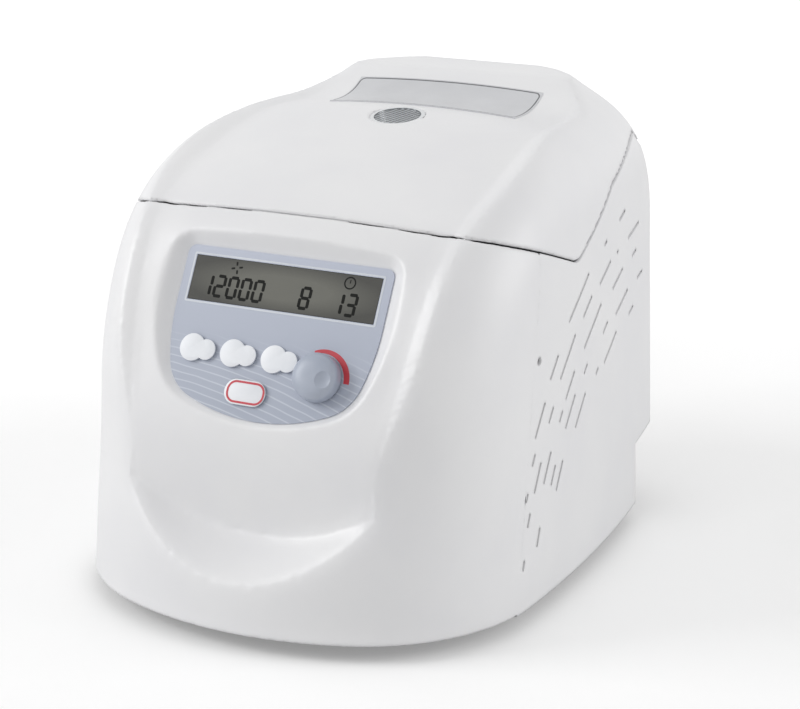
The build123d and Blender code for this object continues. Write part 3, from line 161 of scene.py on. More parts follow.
# Metals by material slot: name, darker and lighter colour, roughness, and stretch of the lines
METALS = {
    "zinc_steel": ("steel_zinc_plated", "#A9ACAE", "#BFC2C4", 0.34, (1.0, 1.0, 1.0)),
    "ground_steel": ("steel_ground", "#B4B5B7", "#C8C9CB", 0.2, (1.0, 8.0, 8.0)),
    "bowl_steel": ("steel_stainless_drawn", "#B2B4B6", "#C6C8CA", 0.28, (1.0, 1.0, 9.0)),
    "bright_rim": ("steel_polished_rim", "#D2D4D6", "#E2E4E6", 0.12, (1.0, 1.0, 1.0)),
    "motor_alloy": ("aluminium_cast", "#83868A", "#96999D", 0.5, (1.0, 1.0, 1.0)),
    "rotor_alloy": ("aluminium_anodised", "#BDBFC3", "#CDCFD3", 0.3, (1.0, 1.0, 6.0)),
    "pin_brass": ("brass_nickel_plated", "#C9BC92", "#D8CCA4", 0.25, (1.0, 1.0, 6.0)),
}

# Soft lamps: name, place, width, and share of the main lamp's power
LAMPS = (
    ("key_lamp", (-1.9, -1.15, 1.3), 1.2, 1.0),
    ("top_lamp", (-0.3, 0.6, 2.2), 1.0, 0.08),
    ("side_lamp", (2.3, 0.7, 1.0), 1.4, 0.70),
)
LAMP_AIM = Vector((0.0, 0.0, 0.12))

# The camera that was fitted to the photograph, turned and raised about a point on the axis
CAMERA_TURN = radians(27.358)
CAMERA_RISE = radians(16.138)
CAMERA_DISTANCE = 1.401737
CAMERA_AIM = Vector((0.0, 0.0, 0.14))
CAMERA_LENS = 103.26
CAMERA_SHIFT = (0.0361, -0.0315)

WHITE = (1.0, 1.0, 1.0, 1.0)


def panel_matrix(x=0.0, drop=0.0, height=0.0):
    """Place on the control panel: across, down from the middle of the display, and out."""
    place = PANEL_ORIGIN + Vector((x, 0.0, 0.0)) - PANEL_UP * drop + PANEL_OUT * height
    turn = Matrix((Vector((1.0, 0.0, 0.0)), PANEL_UP, PANEL_OUT)).transposed()
    return Matrix.Translation(place) @ turn.to_4x4()


def linear(hex_code):
    """An sRGB hex colour as the linear red, green, blue and alpha that Blender reads."""
    channels = [int(hex_code[i : i + 2], 16) / 255 for i in (1, 3, 5)]
    return [c / 12.92 if c <= 0.04045 else ((c + 0.055) / 1.055) ** 2.4 for c in channels] + [1.0]


def add_node(tree, kind, settings=None, links=None):
    """Add a node, set its inputs and properties, and link its inputs."""
    node = tree.nodes.new(kind)
    for key, value in (settings or {}).items():
        if isinstance(key, str) and hasattr(node, key):
            setattr(node, key, value)
        else:
            node.inputs[key].default_value = value
    for key, source in (links or {}).items():
        tree.links.new(source, node.inputs[key])
    return node


def new_material(name):
    """An empty material with its Principled shader and its object coordinates."""
    material = bpy.data.materials.new(name)
    material.use_nodes = True
    tree = material.node_tree
    shader = tree.nodes["Principled BSDF"]
    coordinates = add_node(tree, "ShaderNodeTexCoord").outputs["Object"]
    return material, tree, shader, coordinates


def ramp(tree, value, low_colour, high_colour, low=0.0, high=1.0):
    """A value turned into a colour between two sRGB hex colours."""
    node = add_node(tree, "ShaderNodeValToRGB", {}, {"Fac": value})
    node.color_ramp.elements[0].position = low
    node.color_ramp.elements[0].color = linear(low_colour)
    node.color_ramp.elements[1].position = high
    node.color_ramp.elements[1].color = linear(high_colour)
    return node.outputs["Color"]


def between(tree, value, start, end, low=0.0, high=1.0):
    """A value carried from one range to another and held to its ends."""
    limits = {"From Min": start, "From Max": end, "To Min": low, "To Max": high}
    return add_node(tree, "ShaderNodeMapRange", limits, {"Value": value}).outputs["Result"]


def calculated(tree, operation, first, second):
    """The result of a calculation on two values."""
    node = add_node(tree, "ShaderNodeMath", {"operation": operation}, {0: first, 1: second})
    return node.outputs[0]


def vector_step(tree, operation, source, other=None):
    """A calculation on a vector, with a fixed second vector if it takes one."""
    settings = {"operation": operation}
    if other:
        settings[1] = other
    return add_node(tree, "ShaderNodeVectorMath", settings, {0: source})


def mixed(tree, share, colour, other):
    """A colour mixed towards an sRGB hex colour by a share."""
    node = add_node(tree, "ShaderNodeMix", {"data_type": "RGBA"}, {0: share, 6: colour})
    node.inputs[7].default_value = linear(other)
    return node.outputs[2]


def flattened(tree, coordinates, place, lean):
    """Coordinates on a leaning plane: across, up along it, and out of it."""
    settings = {"vector_type": "TEXTURE", "Location": place, "Rotation": (lean, 0.0, 0.0)}
    node = add_node(tree, "ShaderNodeMapping", settings, {"Vector": coordinates})
    return node.outputs["Vector"]


def bumped(tree, height, distance, strength, base=None):
    """A normal bumped by a height, over an optional base normal."""
    links = {"Height": height}
    if base:
        links["Normal"] = base
    settings = {"Distance": distance, "Strength": strength}
    return add_node(tree, "ShaderNodeBump", settings, links).outputs["Normal"]


def speckled(tree, coordinates, dark, light, scale):
    """Two close colours mixed by a soft noise, for colour that is never quite even."""
    noise = add_node(
        tree, "ShaderNodeTexNoise", {"Scale": scale, "Detail": 4.0}, {"Vector": coordinates}
    )
    return ramp(tree, noise.outputs["Fac"], dark, light, 0.35, 0.65)


def grained(tree, coordinates, scale, distance, strength, base=None):
    """A fine bump from noise, over an optional base normal."""
    noise = add_node(
        tree, "ShaderNodeTexNoise", {"Scale": scale, "Detail": 3.0}, {"Vector": coordinates}
    )
    return bumped(tree, noise.outputs["Fac"], distance, strength, base)


def dress(tree, shader, colour, normal, roughness, ior):
    """Link a colour and a normal, where there is one, to a shader, and set its gloss."""
    tree.links.new(colour, shader.inputs["Base Color"])
    if normal:
        tree.links.new(normal, shader.inputs["Normal"])
    shader.inputs["Roughness"].default_value = roughness
    shader.inputs["IOR"].default_value = ior


def shell_plastic(settings):
    """Injection-moulded ABS, satin: spark-eroded grain, soft moulded edges, a cool white."""
    material, tree, shader, coordinates = new_material("ABS_moulded_satin_white")
    # The eye gets a broad soft sheen; the grain of about 0.4 mm is drawn at 0.9 mm to show
    colour = speckled(tree, coordinates, settings.shell_dark, settings.shell_light, 14.0)
    rounding = add_node(tree, "ShaderNodeBevel", {"samples": 8, "Radius": settings.edge_radius})
    normal = grained(tree, coordinates, 1100.0, 0.00008, 0.12, rounding.outputs["Normal"])
    dress(tree, shader, colour, normal, 0.38, ABS_IOR)
    return material


def deck_plastic():
    """Injection-moulded ABS with a matt inner face, a touch greyer than the outside."""
    material, tree, shader, coordinates = new_material("ABS_moulded_matt_grey_white")
    colour = speckled(tree, coordinates, "#D2D4D6", "#DADCDD", 18.0)
    normal = grained(tree, coordinates, 1400.0, 0.0001, 0.2)
    dress(tree, shader, colour, normal, 0.55, ABS_IOR)
    return material


def black_plastic():
    """Glass-filled nylon, black: slightly grey where the light grazes its fine grain."""
    material, tree, shader, coordinates = new_material("nylon_moulded_black")
    colour = speckled(tree, coordinates, "#151516", "#1E1E20", 60.0)
    normal = grained(tree, coordinates, 1500.0, 0.0001, 0.3)
    dress(tree, shader, colour, normal, 0.5, NYLON_IOR)
    return material


def foot_rubber():
    """Nitrile rubber, moulded: dull, with dust-grey mottling."""
    material, tree, shader, coordinates = new_material("nitrile_rubber_black")
    colour = speckled(tree, coordinates, "#19191A", "#262627", 120.0)
    normal = grained(tree, coordinates, 900.0, 0.0002, 0.4)
    dress(tree, shader, colour, normal, 0.8, RUBBER_IOR)
    return material


def plain_plastic(name, dark, light, roughness, grain=0.08):
    """Smooth moulded ABS in one colour, with the faint unevenness of a moulding."""
    material, tree, shader, coordinates = new_material(name)
    colour = speckled(tree, coordinates, dark, light, 45.0)
    normal = grained(tree, coordinates, 1200.0, 0.00006, grain)
    dress(tree, shader, colour, normal, roughness, ABS_IOR)
    return material


def brushed_metal(name, dark, light, roughness, stretch):
    """Metal whose fine lines run one way; the stretch squeezes the noise along each axis."""
    material, tree, shader, coordinates = new_material(name)
    mapping = add_node(tree, "ShaderNodeMapping", {"Scale": stretch}, {"Vector": coordinates})
    colour = speckled(tree, mapping.outputs["Vector"], dark, light, 40.0)
    normal = grained(tree, mapping.outputs["Vector"], 300.0, 0.00005, 0.25)
    dress(tree, shader, colour, normal, roughness, shader.inputs["IOR"].default_value)
    shader.inputs["Metallic"].default_value = 1.0
    return material


def window_acrylic():
    """Clear polycarbonate, moulded with fine ribs under its face: opaque grey, with painted shade
    and painted highlight across each rib, and sharp glints.
    """
    material, tree, shader, coordinates = new_material("polycarbonate_ribbed_painted_rib_shade_and_highlight")
    turned = add_node(
        tree, "ShaderNodeMapping", {"Rotation": (0.0, 0.0, radians(24))}, {"Vector": coordinates}
    )
    # Ribs at 3 mm pitch
    wave = add_node(
        tree, "ShaderNodeTexWave", {"Scale": 105.0}, {"Vector": turned.outputs["Vector"]}
    )
    # Painted shade and painted highlight: each rib's colour runs from dark grey to pale grey across
    # it
    colour = ramp(tree, wave.outputs["Fac"], "#5A5E63", "#B6BABE")
    normal = bumped(tree, wave.outputs["Fac"], 0.0008, 0.7)
    dress(tree, shader, colour, normal, 0.12, POLYCARBONATE_IOR)
    return material


def clear_glass():
    """Thin clear soda-lime glass: mostly seen by its glints, faintly mottled."""
    material, tree, shader, coordinates = new_material("soda_lime_glass")
    colour = speckled(tree, coordinates, "#D8E6E4", "#EEF4F4", 90.0)
    dress(tree, shader, colour, None, 0.03, GLASS_IOR)
    shader.inputs["Alpha"].default_value = 0.45
    return material


def panel_print(settings):
    """Screen-printed polyester film, matt: blue grey, paler at the top, fine pale lines below."""
    material, tree, shader, coordinates = new_material("polyester_film_printed_blue_grey")
    flat = flattened(tree, coordinates, PANEL_ORIGIN, pi / 2 - PANEL_LEAN)
    up = add_node(tree, "ShaderNodeSeparateXYZ", {}, {"Vector": flat}).outputs["Y"]
    shade = between(tree, up, -0.075, 0.02)
    base = ramp(tree, shade, settings.panel_low, settings.panel_high)
    # Fine lines about 4 mm apart that sweep down to the right, in bands that fade upward
    ring = add_node(
        tree,
        "ShaderNodeMapping",
        {"Location": (0.06, 0.21, 0.0), "Scale": (0.55, 1.0, 1.0)},
        {"Vector": flat},
    )
    wave = add_node(
        tree,
        "ShaderNodeTexWave",
        {
            "wave_type": "RINGS",
            "rings_direction": "Z",
            "Scale": 75.0,
            "Distortion": 1.4,
            "Detail": 1.0,
        },
        {"Vector": ring.outputs["Vector"]},
    )
    thin = between(tree, wave.outputs["Fac"], 0.86, 1.0)
    fade = between(tree, up, -0.030, -0.046)
    line = calculated(tree, "MULTIPLY", thin, fade)
    soft = add_node(tree, "ShaderNodeMath", {"operation": "MULTIPLY", 1: 0.45}, {0: line})
    colour = mixed(tree, soft.outputs[0], base, "#DDE2EA")
    normal = grained(tree, coordinates, 1800.0, 0.00005, 0.15)
    dress(tree, shader, colour, normal, 0.42, POLYESTER_IOR)
    return material


def lcd_glass():
    """Liquid crystal cell behind clear polyester: olive grey, with painted shade that darkens it
    towards its rim, where the bezel shades the sunk cell.
    """
    material, tree, shader, coordinates = new_material("liquid_crystal_olive_grey_painted_rim_shade")
    flat = flattened(tree, coordinates, PANEL_ORIGIN, pi / 2 - PANEL_LEAN)
    rim_shade_ellipse = add_node(
        tree, "ShaderNodeMapping", {"Scale": (15.0, 66.0, 0.0)}, {"Vector": flat}
    )
    away = vector_step(tree, "LENGTH", rim_shade_ellipse.outputs["Vector"])
    # Painted shade: the olive grey darkens from the middle of the cell towards its rim
    colour = ramp(tree, away.outputs["Value"], "#6E6E67", "#4A4A46", 0.45)
    dress(tree, shader, colour, None, 0.12, GLASS_IOR)
    return material


def bordered_film():
    """Bare polyester label, pale, with a thin dark printed border."""
    material, tree, shader, coordinates = new_material("polyester_film_pale")
    flat = flattened(tree, coordinates, (0.0, 0.088, 0.27275), radians(7.125))
    # Distance from the rounded outline, from the half sizes less the corner radius
    folded = vector_step(tree, "ABSOLUTE", flat)
    inner = vector_step(tree, "SUBTRACT", folded.outputs["Vector"], (0.0595, 0.0175, 0.01))
    outer = vector_step(tree, "MAXIMUM", inner.outputs["Vector"], (0.0, 0.0, 0.0))
    reach = vector_step(tree, "LENGTH", outer.outputs["Vector"])
    line = add_node(
        tree,
        "ShaderNodeMath",
        {"operation": "COMPARE", 1: 0.0033, 2: 0.00045},
        {0: reach.outputs["Value"]},
    )
    pale = speckled(tree, coordinates, "#CBCCCF", "#D1D2D5", 45.0)
    colour = mixed(tree, line.outputs[0], pale, "#5F6064")
    dress(tree, shader, colour, None, 0.3, POLYESTER_IOR)
    return material


def make_materials(settings):
    """Every finish of the machine, by the material slot it serves."""
    dial_colours = (settings.dial_dark, settings.dial_light)
    materials = {slot: brushed_metal(*metal) for slot, metal in METALS.items()}
    materials |= {
        "white_shell": shell_plastic(settings),
        "white_deck": deck_plastic(),
        "dark_plastic": black_plastic(),
        "foot_rubber": foot_rubber(),
        "seal_rubber": foot_rubber(),
        "clear_window": window_acrylic(),
        "plate_film": bordered_film(),
        "coil_black": black_plastic(),
        "capillary_glass": clear_glass(),
        "panel_film": panel_print(settings),
        "display_glass": lcd_glass(),
        "key_white": plain_plastic("ABS_key_white", "#EBEEF3", "#F2F4F8", 0.35),
        "dial_blue": plain_plastic("ABS_dial_blue_grey", *dial_colours, 0.32),
        "board_green": plain_plastic("glass_epoxy_board", "#1C4A30", "#245A3B", 0.4),
        "inlet_black": black_plastic(),
    }
    return materials


def give(obj, material):
    """Put one material on an object."""
    obj.data.materials.clear()
    obj.data.materials.append(material)


def clear_selection():
    """Deselect everything before a primitive is added."""
    bpy.ops.object.select_all(action="DESELECT")


def select_only(obj):
    """Select one object and nothing else, and make it the active one."""
    clear_selection()
    obj.select_set(True)
    bpy.context.view_layer.objects.active = obj


def settle(obj, name, matrix, body, material):
    """Move a finished local piece to its place, leave its object at the origin and let it ride."""
    obj.name = name
    obj.data.name = name
    obj.matrix_world = matrix @ obj.matrix_world
    select_only(obj)
    bpy.ops.object.transform_apply(location=True, rotation=True, scale=True)
    give(obj, material)
    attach(obj, body)
    return obj


def join(objects):
    """Join objects into the first one."""
    select_only(objects[0])
    for obj in objects:
        obj.select_set(True)
    bpy.ops.object.join()
    return objects[0]


def apply_modifiers(obj):
    """Apply every modifier of an object in order."""
    select_only(obj)
    for modifier in list(obj.modifiers):
        bpy.ops.object.modifier_apply(modifier=modifier.name)


def raise_faces(thickness):
    """In edit mode, extrude the whole flat mesh upward, if at all, and turn its faces outward."""
    bpy.ops.mesh.select_all(action="SELECT")
    if thickness:
        bpy.ops.mesh.extrude_region_move(TRANSFORM_OT_translate={"value": (0.0, 0.0, thickness)})
        bpy.ops.mesh.select_all(action="SELECT")
    bpy.ops.mesh.normals_make_consistent(inside=False)
    bpy.ops.object.mode_set(mode="OBJECT")


def flat_ring(outer, inner, thickness, segments):
    """A flat ring by filling a circle, insetting it, opening its middle and extruding it."""
    clear_selection()
    bpy.ops.mesh.primitive_circle_add(vertices=segments, radius=outer, fill_type="NGON")
    obj = bpy.context.object
    bpy.ops.object.mode_set(mode="EDIT")
    bpy.ops.mesh.select_all(action="SELECT")
    bpy.ops.mesh.inset(thickness=outer - inner)
    bpy.ops.mesh.delete(type="FACE")
    raise_faces(thickness)
    return obj


def rounded_plate(width, height, corner, thickness):
    """A flat plate with rounded corners: a plane with its corners bevelled, then extruded."""
    clear_selection()
    bpy.ops.mesh.primitive_plane_add(size=1.0)
    obj = bpy.context.object
    bpy.ops.object.mode_set(mode="EDIT")
    bpy.ops.mesh.select_all(action="SELECT")
    bpy.ops.transform.resize(value=(width, height, 1.0))
    bpy.ops.mesh.bevel(offset=corner, segments=12, affect="VERTICES")
    raise_faces(thickness)
    return obj


def outline_ring(width, height, corner, line, thickness):
    """A thin line round a plate with rounded corners."""
    obj = rounded_plate(width, height, corner, 0.0)
    bpy.ops.object.mode_set(mode="EDIT")
    bpy.ops.mesh.select_all(action="SELECT")
    bpy.ops.mesh.inset(thickness=line)
    bpy.ops.mesh.delete(type="FACE")
    raise_faces(thickness)
    return obj


def round_block(radius, low, high, x=0.0, y=0.0, segments=64):
    """An upright round block, to be joined or cut into another."""
    clear_selection()
    bpy.ops.mesh.primitive_cylinder_add(
        vertices=segments, radius=radius, depth=high - low, location=(x, y, (low + high) / 2)
    )
    return bpy.context.object


def combine(obj, other, operation):
    """Unite an object with another one, which is used up, or cut it by that."""
    step = obj.modifiers.new("combine", "BOOLEAN")
    step.operation = operation
    step.object = other
    step.solver = "EXACT"
    apply_modifiers(obj)
    bpy.data.objects.remove(other)


def soften(obj, width, angle):
    """Round the edges that turn by more than an angle."""
    step = obj.modifiers.new("soften", "BEVEL")
    step.width = width
    step.segments = 3
    step.limit_method = "ANGLE"
    step.angle_limit = radians(angle)
    apply_modifiers(obj)
    bpy.ops.object.shade_smooth_by_angle(angle=radians(40))


def smooth_faces(obj):
    """Smooth shading but for sharp turns."""
    select_only(obj)
    bpy.ops.object.shade_smooth_by_angle(angle=SMOOTH_ANGLE)


def plain_normals(obj):
    """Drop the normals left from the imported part; smooth faces anew, the large ones first."""
    select_only(obj)
    bpy.ops.mesh.customdata_custom_splitnormals_clear()
    smooth_faces(obj)
    step = obj.modifiers.new("weighted", "WEIGHTED_NORMAL")
    step.keep_sharp = True
    apply_modifiers(obj)


def merged_copy(node):
    """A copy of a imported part's mesh with its loose triangles merged, ready to be reshaped."""
    obj = bpy.data.objects.new(node, NODES[node].data.copy())
    bpy.context.scene.collection.objects.link(obj)
    select_only(obj)
    bpy.ops.object.mode_set(mode="EDIT")
    bpy.ops.mesh.select_all(action="SELECT")
    bpy.ops.mesh.remove_doubles(threshold=0.000002)
    bpy.ops.mesh.select_all(action="DESELECT")
    bpy.ops.object.mode_set(mode="OBJECT")
    return obj


class DressingSettings(bpy.types.PropertyGroup):
    """Sizes and colours that a user may want to change."""

    shell_light: bpy.props.StringProperty(
        name="Shell light", description="Lighter colour of the white mouldings", default="#EFEFF0"
    )
    shell_dark: bpy.props.StringProperty(
        name="Shell dark", description="Darker colour of the white mouldings", default="#EBEBED"
    )
    edge_radius: bpy.props.FloatProperty(
        name="Edge radius",
        description="Radius to which the moulded edges look rounded",
        default=0.003,
        min=0.0,
        unit="LENGTH",
    )
    panel_high: bpy.props.StringProperty(
        name="Panel top", description="Colour of the panel film at its top", default="#BCC2D1"
    )
    panel_low: bpy.props.StringProperty(
        name="Panel bottom", description="Colour of the panel film at its bottom", default="#A9B0BF"
    )
    dial_light: bpy.props.StringProperty(
        name="Dial light", description="Lighter colour of the dial", default="#AFB6C4"
    )
    dial_dark: bpy.props.StringProperty(
        name="Dial dark", description="Darker colour of the dial", default="#A5ADBC"
    )
    digit_height: bpy.props.FloatProperty(
        name="Digit height",
        description="Height of the figures on the display",
        default=0.0134,
        min=0.002,
        unit="LENGTH",
    )
    lamp_power: bpy.props.FloatProperty(
        name="Lamp power",
        description="Power of the main soft lamp",
        default=25.0,
        min=0.0,
        unit="POWER",
    )


class CENTRIFUGE_OT_finishes(bpy.types.Operator):
    """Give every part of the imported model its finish"""

    bl_idname = "centrifuge.finishes"
    bl_label = "Finishes"

    def execute(self, context):
        materials = make_materials(context.scene.centrifuge)
        slots = {s["node"]: s["material_slot"] for s in frame["record"]["subparts"]}
        for name, node in NODES.items():
            give(node, materials[slots[name]])
        return {"FINISHED"}


class CENTRIFUGE_OT_figures(bpy.types.Operator):
    """Build the figures, the clock sign and the fan sign of the display"""

    bl_idname = "centrifuge.figures"
    bl_label = "Display figures"

    def execute(self, context):
        height = context.scene.centrifuge.digit_height
        ink = plain_plastic("liquid_crystal_dark", "#141513", "#1A1B19", 0.5, 0.0)
        shader = ink.node_tree.nodes["Principled BSDF"]
        shader.inputs["Specular IOR Level"].default_value = 0.1
        pieces = []
        for text, left, drop in FIGURE_GROUPS:
            pieces += self.row(text, left, -drop, height)
        pieces += self.signs()
        place = panel_matrix(0.0, 0.0, OVERLAY_TOP)
        settle(join(pieces), "display_figures", place, "chassis", ink)
        return {"FINISHED"}

    def row(self, text, left, baseline, height):
        """One row of seven-segment figures, each of separate slanted bars."""
        width = height * FIGURE_WIDTH
        half_w = width / 2 - height * FIGURE_INSET
        half_h = height / 2 - height * FIGURE_INSET
        bars = []
        for i, figure in enumerate(text):
            middle_x = left + (i + 0.5) * width * FIGURE_STEP
            middle_y = baseline + height / 2
            for segment in FIGURES[figure]:
                across, up, upright = SEGMENTS[segment]
                x = middle_x + across * half_w
                y = middle_y + up * half_h
                length = half_h * 0.90 if upright else half_w * 1.75
                bars.append(self.bar(x, y, length, height * FIGURE_BAR, upright))
        return bars

    def bar(self, x, y, length, thickness, upright):
        """One bar of a figure, with tapered ends."""
        obj = rounded_plate(thickness, length, thickness * 0.42, INK_DEPTH)
        place = Matrix.Translation((x + y * FIGURE_SLANT, y, 0.0))
        obj.matrix_world = place @ Matrix.Rotation(0.0 if upright else pi / 2, 4, "Z")
        return obj

    def signs(self):
        """A clock face and a four-bladed fan above the figures."""
        clock = flat_ring(0.0037, 0.0029, INK_DEPTH, 32)
        clock.matrix_world = Matrix.Translation((0.0405, SIGNS_UP, 0.0))
        hand = self.bar(0.0398, 0.0090, 0.0021, 0.0006, True)
        blades = []
        for i in range(4):
            blade = self.bar(0.0, 0.0, 0.0024, 0.0011, True)
            place = Matrix.Translation((-0.0325, SIGNS_UP, 0.0))
            turn = Matrix.Rotation(i * pi / 2 + 0.2, 4, "Z")
            blade.matrix_world = place @ turn @ Matrix.Translation((0.0, 0.0025, 0.0))
            blades.append(blade)
        return [clock, hand, *blades]


class CENTRIFUGE_OT_mouldings(bpy.types.Operator):
    """Build the body and lid mouldings with the soft crests of the real ones"""

    bl_idname = "centrifuge.mouldings"
    bl_label = "Mouldings"

    def execute(self, context):
        material = shell_plastic(context.scene.centrifuge)
        tree, shifts = self.relaxed_form()
        # The front is remeshed with a little of the rear, then trimmed to the seam
        front = merged_copy("housing")
        self.cut(front, SEAM_OVERLAP, True, True)
        self.remesh(front, MOULDING_MESH)
        self.cut(front, 0.0, True, False)
        self.follow(front, tree, shifts)
        self.thin(front, BODY_SHARE)
        rear = merged_copy("housing")
        self.cut(rear, 0.0, False, False)
        plain_normals(rear)
        smooth_faces(front)
        housing = join([rear, front])
        lid = merged_copy("lid_shell")
        self.remesh(lid, MOULDING_MESH)
        self.follow(lid, tree, shifts)
        self.thin(lid, LID_SHARE)
        smooth_faces(lid)
        for obj, name, node, body in (
            (housing, "body_moulding", "housing", "chassis"),
            (lid, "lid_moulding", "lid_shell", "lid"),
        ):
            obj.name = name
            give(obj, material)
            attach(obj, body)
            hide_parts(node)
        return {"FINISHED"}

    def relaxed_form(self):
        """Relax body and lid as one form; give the outer points before, and how far each moved."""
        form = join([merged_copy("housing"), merged_copy("lid_shell")])
        self.remesh(form, RELAXED_MESH)
        group = form.vertex_groups.new(name="soft")
        outside = []
        for vertex in form.data.vertices:
            if vertex.normal.dot(vertex.co - BODY_MIDDLE) > 0.0:
                outside.append(vertex.index)
                share = self.softness(vertex.co)
                if share > 0.0:
                    group.add([vertex.index], share, "REPLACE")
        before = [form.data.vertices[i].co.copy() for i in outside]
        step = form.modifiers.new("relax", "SMOOTH")
        step.factor = 0.5
        step.iterations = RELAXING_STEPS
        step.vertex_group = "soft"
        apply_modifiers(form)
        shifts = [form.data.vertices[i].co - old for i, old in zip(outside, before)]
        bpy.data.objects.remove(form)
        tree = KDTree(len(before))
        for i, place in enumerate(before):
            tree.insert(place, i)
        tree.balance()
        return tree, shifts

    def follow(self, obj, tree, shifts):
        """Move each point with the relaxed form beside it, less so deep inside the body."""
        for vertex in obj.data.vertices:
            near = tree.find_n(vertex.co, 4)
            # All of the shift up to 6 mm from the outside, none of it past 14 mm
            share = max(0.0, min(1.0, (0.014 - near[0][2]) / 0.008))
            weights = [1.0 / (distance + 0.0003) for _, _, distance in near]
            shift = Vector((0.0, 0.0, 0.0))
            for (_, i, _), weight in zip(near, weights):
                shift += shifts[i] * weight
            vertex.co += shift * (share / sum(weights))
        obj.data.update()

    def softness(self, place):
        """How far a point may relax: not at the foot, panel, window, hinge or slotted rear."""
        panel = panel_matrix().inverted() @ place
        beside = max(abs(panel.x) - 0.074, panel.y - 0.028, -0.090 - panel.y) / 0.008
        foot = (place.z - 0.014) / 0.006
        window = (Vector((place.x, place.y - 0.035, 0.0)).length - 0.022) / 0.008
        below_lid = (0.20 - place.z) / 0.010
        hinge = (0.158 - place.y) / 0.010
        over = (place.z - self.parting(place.y)) / 0.035
        ahead = max(self.ahead(place) / 0.020, over)
        return max(0.0, min(1.0, beside, foot, max(window, below_lid), hinge, ahead))

    def ahead(self, place):
        """How far a point lies before the slanted plane in front of the slots."""
        return (SEAM_SPOT - place).dot(SEAM_NORMAL)

    def parting(self, y):
        """Height of the parting line at a depth."""
        for (y0, z0), (y1, z1) in zip(PARTING, PARTING[1:]):
            if y <= y1:
                return z0 + (z1 - z0) * (y - y0) / (y1 - y0)
        return PARTING[-1][1]

    def cut(self, obj, behind, keep_front, fill):
        """Cut an object along the slanted plane and keep the part before it or behind it."""
        select_only(obj)
        bpy.ops.object.mode_set(mode="EDIT")
        bpy.ops.mesh.select_all(action="SELECT")
        bpy.ops.mesh.bisect(
            plane_co=SEAM_SPOT + SEAM_NORMAL * behind,
            plane_no=SEAM_NORMAL,
            use_fill=fill,
            clear_outer=keep_front,
            clear_inner=not keep_front,
        )
        bpy.ops.mesh.select_all(action="DESELECT")
        bpy.ops.object.mode_set(mode="OBJECT")

    def remesh(self, obj, size):
        """Give the surface an even mesh, fine enough for its walls."""
        step = obj.modifiers.new("even", "REMESH")
        step.mode = "VOXEL"
        step.voxel_size = size
        apply_modifiers(obj)

    def thin(self, obj, ratio):
        """Fewer triangles where the surface is nearly flat."""
        step = obj.modifiers.new("thin", "DECIMATE")
        step.ratio = ratio
        apply_modifiers(obj)


class CENTRIFUGE_OT_film(bpy.types.Operator):
    """Build the panel film with its pale display frame and the red arc beside the dial"""

    bl_idname = "centrifuge.film"
    bl_label = "Panel film"

    def execute(self, context):
        film = merged_copy("control_overlay")
        self.close_key_holes(film)
        for i in range(3):
            hole = round_block(KEY_STEM + KEY_STEM_GAP, -0.001, 0.003)
            hole.matrix_world = panel_matrix(KEY_X + i * KEY_PITCH, KEY_DROP) @ hole.matrix_world
            combine(film, hole, "DIFFERENCE")
        slot = rounded_plate(0.0188, 0.0098, 0.0048, 0.004)
        slot.matrix_world = panel_matrix(START_X, START_DROP, -0.001)
        combine(film, slot, "DIFFERENCE")
        select_only(film)
        bpy.ops.mesh.customdata_custom_splitnormals_clear()
        bpy.ops.object.shade_flat()
        give(film, panel_print(context.scene.centrifuge))
        film.name = "panel_film"
        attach(film, "chassis")
        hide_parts("control_overlay")
        pale = plain_plastic("ink_screen_printed_pale", "#CDD2DA", "#D6DBE2", 0.4, 0.0)
        line = outline_ring(0.1236, 0.0296, 0.0012, 0.0011, 0.0001)
        line_place = panel_matrix(0.0, 0.0, OVERLAY_TOP)
        settle(line, "display_frame_line", line_place, "chassis", pale)
        red = plain_plastic("ink_screen_printed_red", "#C2323F", "#CB3B48", 0.4, 0.0)
        arc_place = panel_matrix(DIAL_X, DIAL_DROP, OVERLAY_TOP)
        settle(self.red_arc(), "dial_red_arc", arc_place, "chassis", red)
        return {"FINISHED"}

    def close_key_holes(self, film):
        """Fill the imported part's openings to a little past the front face, then trim that flat."""
        to_panel = panel_matrix().inverted()
        heights = [(to_panel @ vertex.co).z for vertex in film.data.vertices]
        low, high = min(heights), max(heights)
        # No two faces of plug, lobes and film lie in one plane, where the cuts would leave cracks
        for x in OPENING_XS:
            plug = round_block(OPENING_RADIUS, low + 0.0002, high + 0.0005)
            for side in (-1.0, 1.0):
                lobe_x, lobe_y = side * OPENING_LOBE_X, -side * OPENING_LOBE_Y
                lobe = round_block(OPENING_LOBE_RADIUS, low + 0.0003, high + 0.0004, lobe_x, lobe_y)
                combine(plug, lobe, "UNION")
            plug.matrix_world = panel_matrix(x, OPENING_DROP) @ plug.matrix_world
            combine(film, plug, "UNION")
        start = rounded_plate(0.0250, 0.0150, 0.0070, high - low + 0.0003)
        start.matrix_world = panel_matrix(START_X, START_OPENING_DROP, low + 0.0002)
        combine(film, start, "UNION")
        trim = rounded_plate(0.3, 0.3, 0.001, 0.01)
        trim.matrix_world = panel_matrix(0.0, 0.02, high)
        combine(film, trim, "DIFFERENCE")

    def red_arc(self):
        """A crescent that thickens clockwise, cut from two discs and trimmed at both ends."""
        arc = round_block(0.0177, 0.0, 0.00012, 0.0005, -0.0006, 96)
        combine(arc, round_block(0.0158, -0.001, 0.001, -0.0010, -0.0010, 96), "DIFFERENCE")
        bpy.ops.object.mode_set(mode="EDIT")
        for normal in ((0.035, 1.0, 0.0), (0.906, 0.423, 0.0)):
            bpy.ops.mesh.select_all(action="SELECT")
            bpy.ops.mesh.bisect(
                plane_co=(0.0, 0.0, 0.0), plane_no=normal, use_fill=True, clear_inner=True
            )
        bpy.ops.object.mode_set(mode="OBJECT")
        return arc


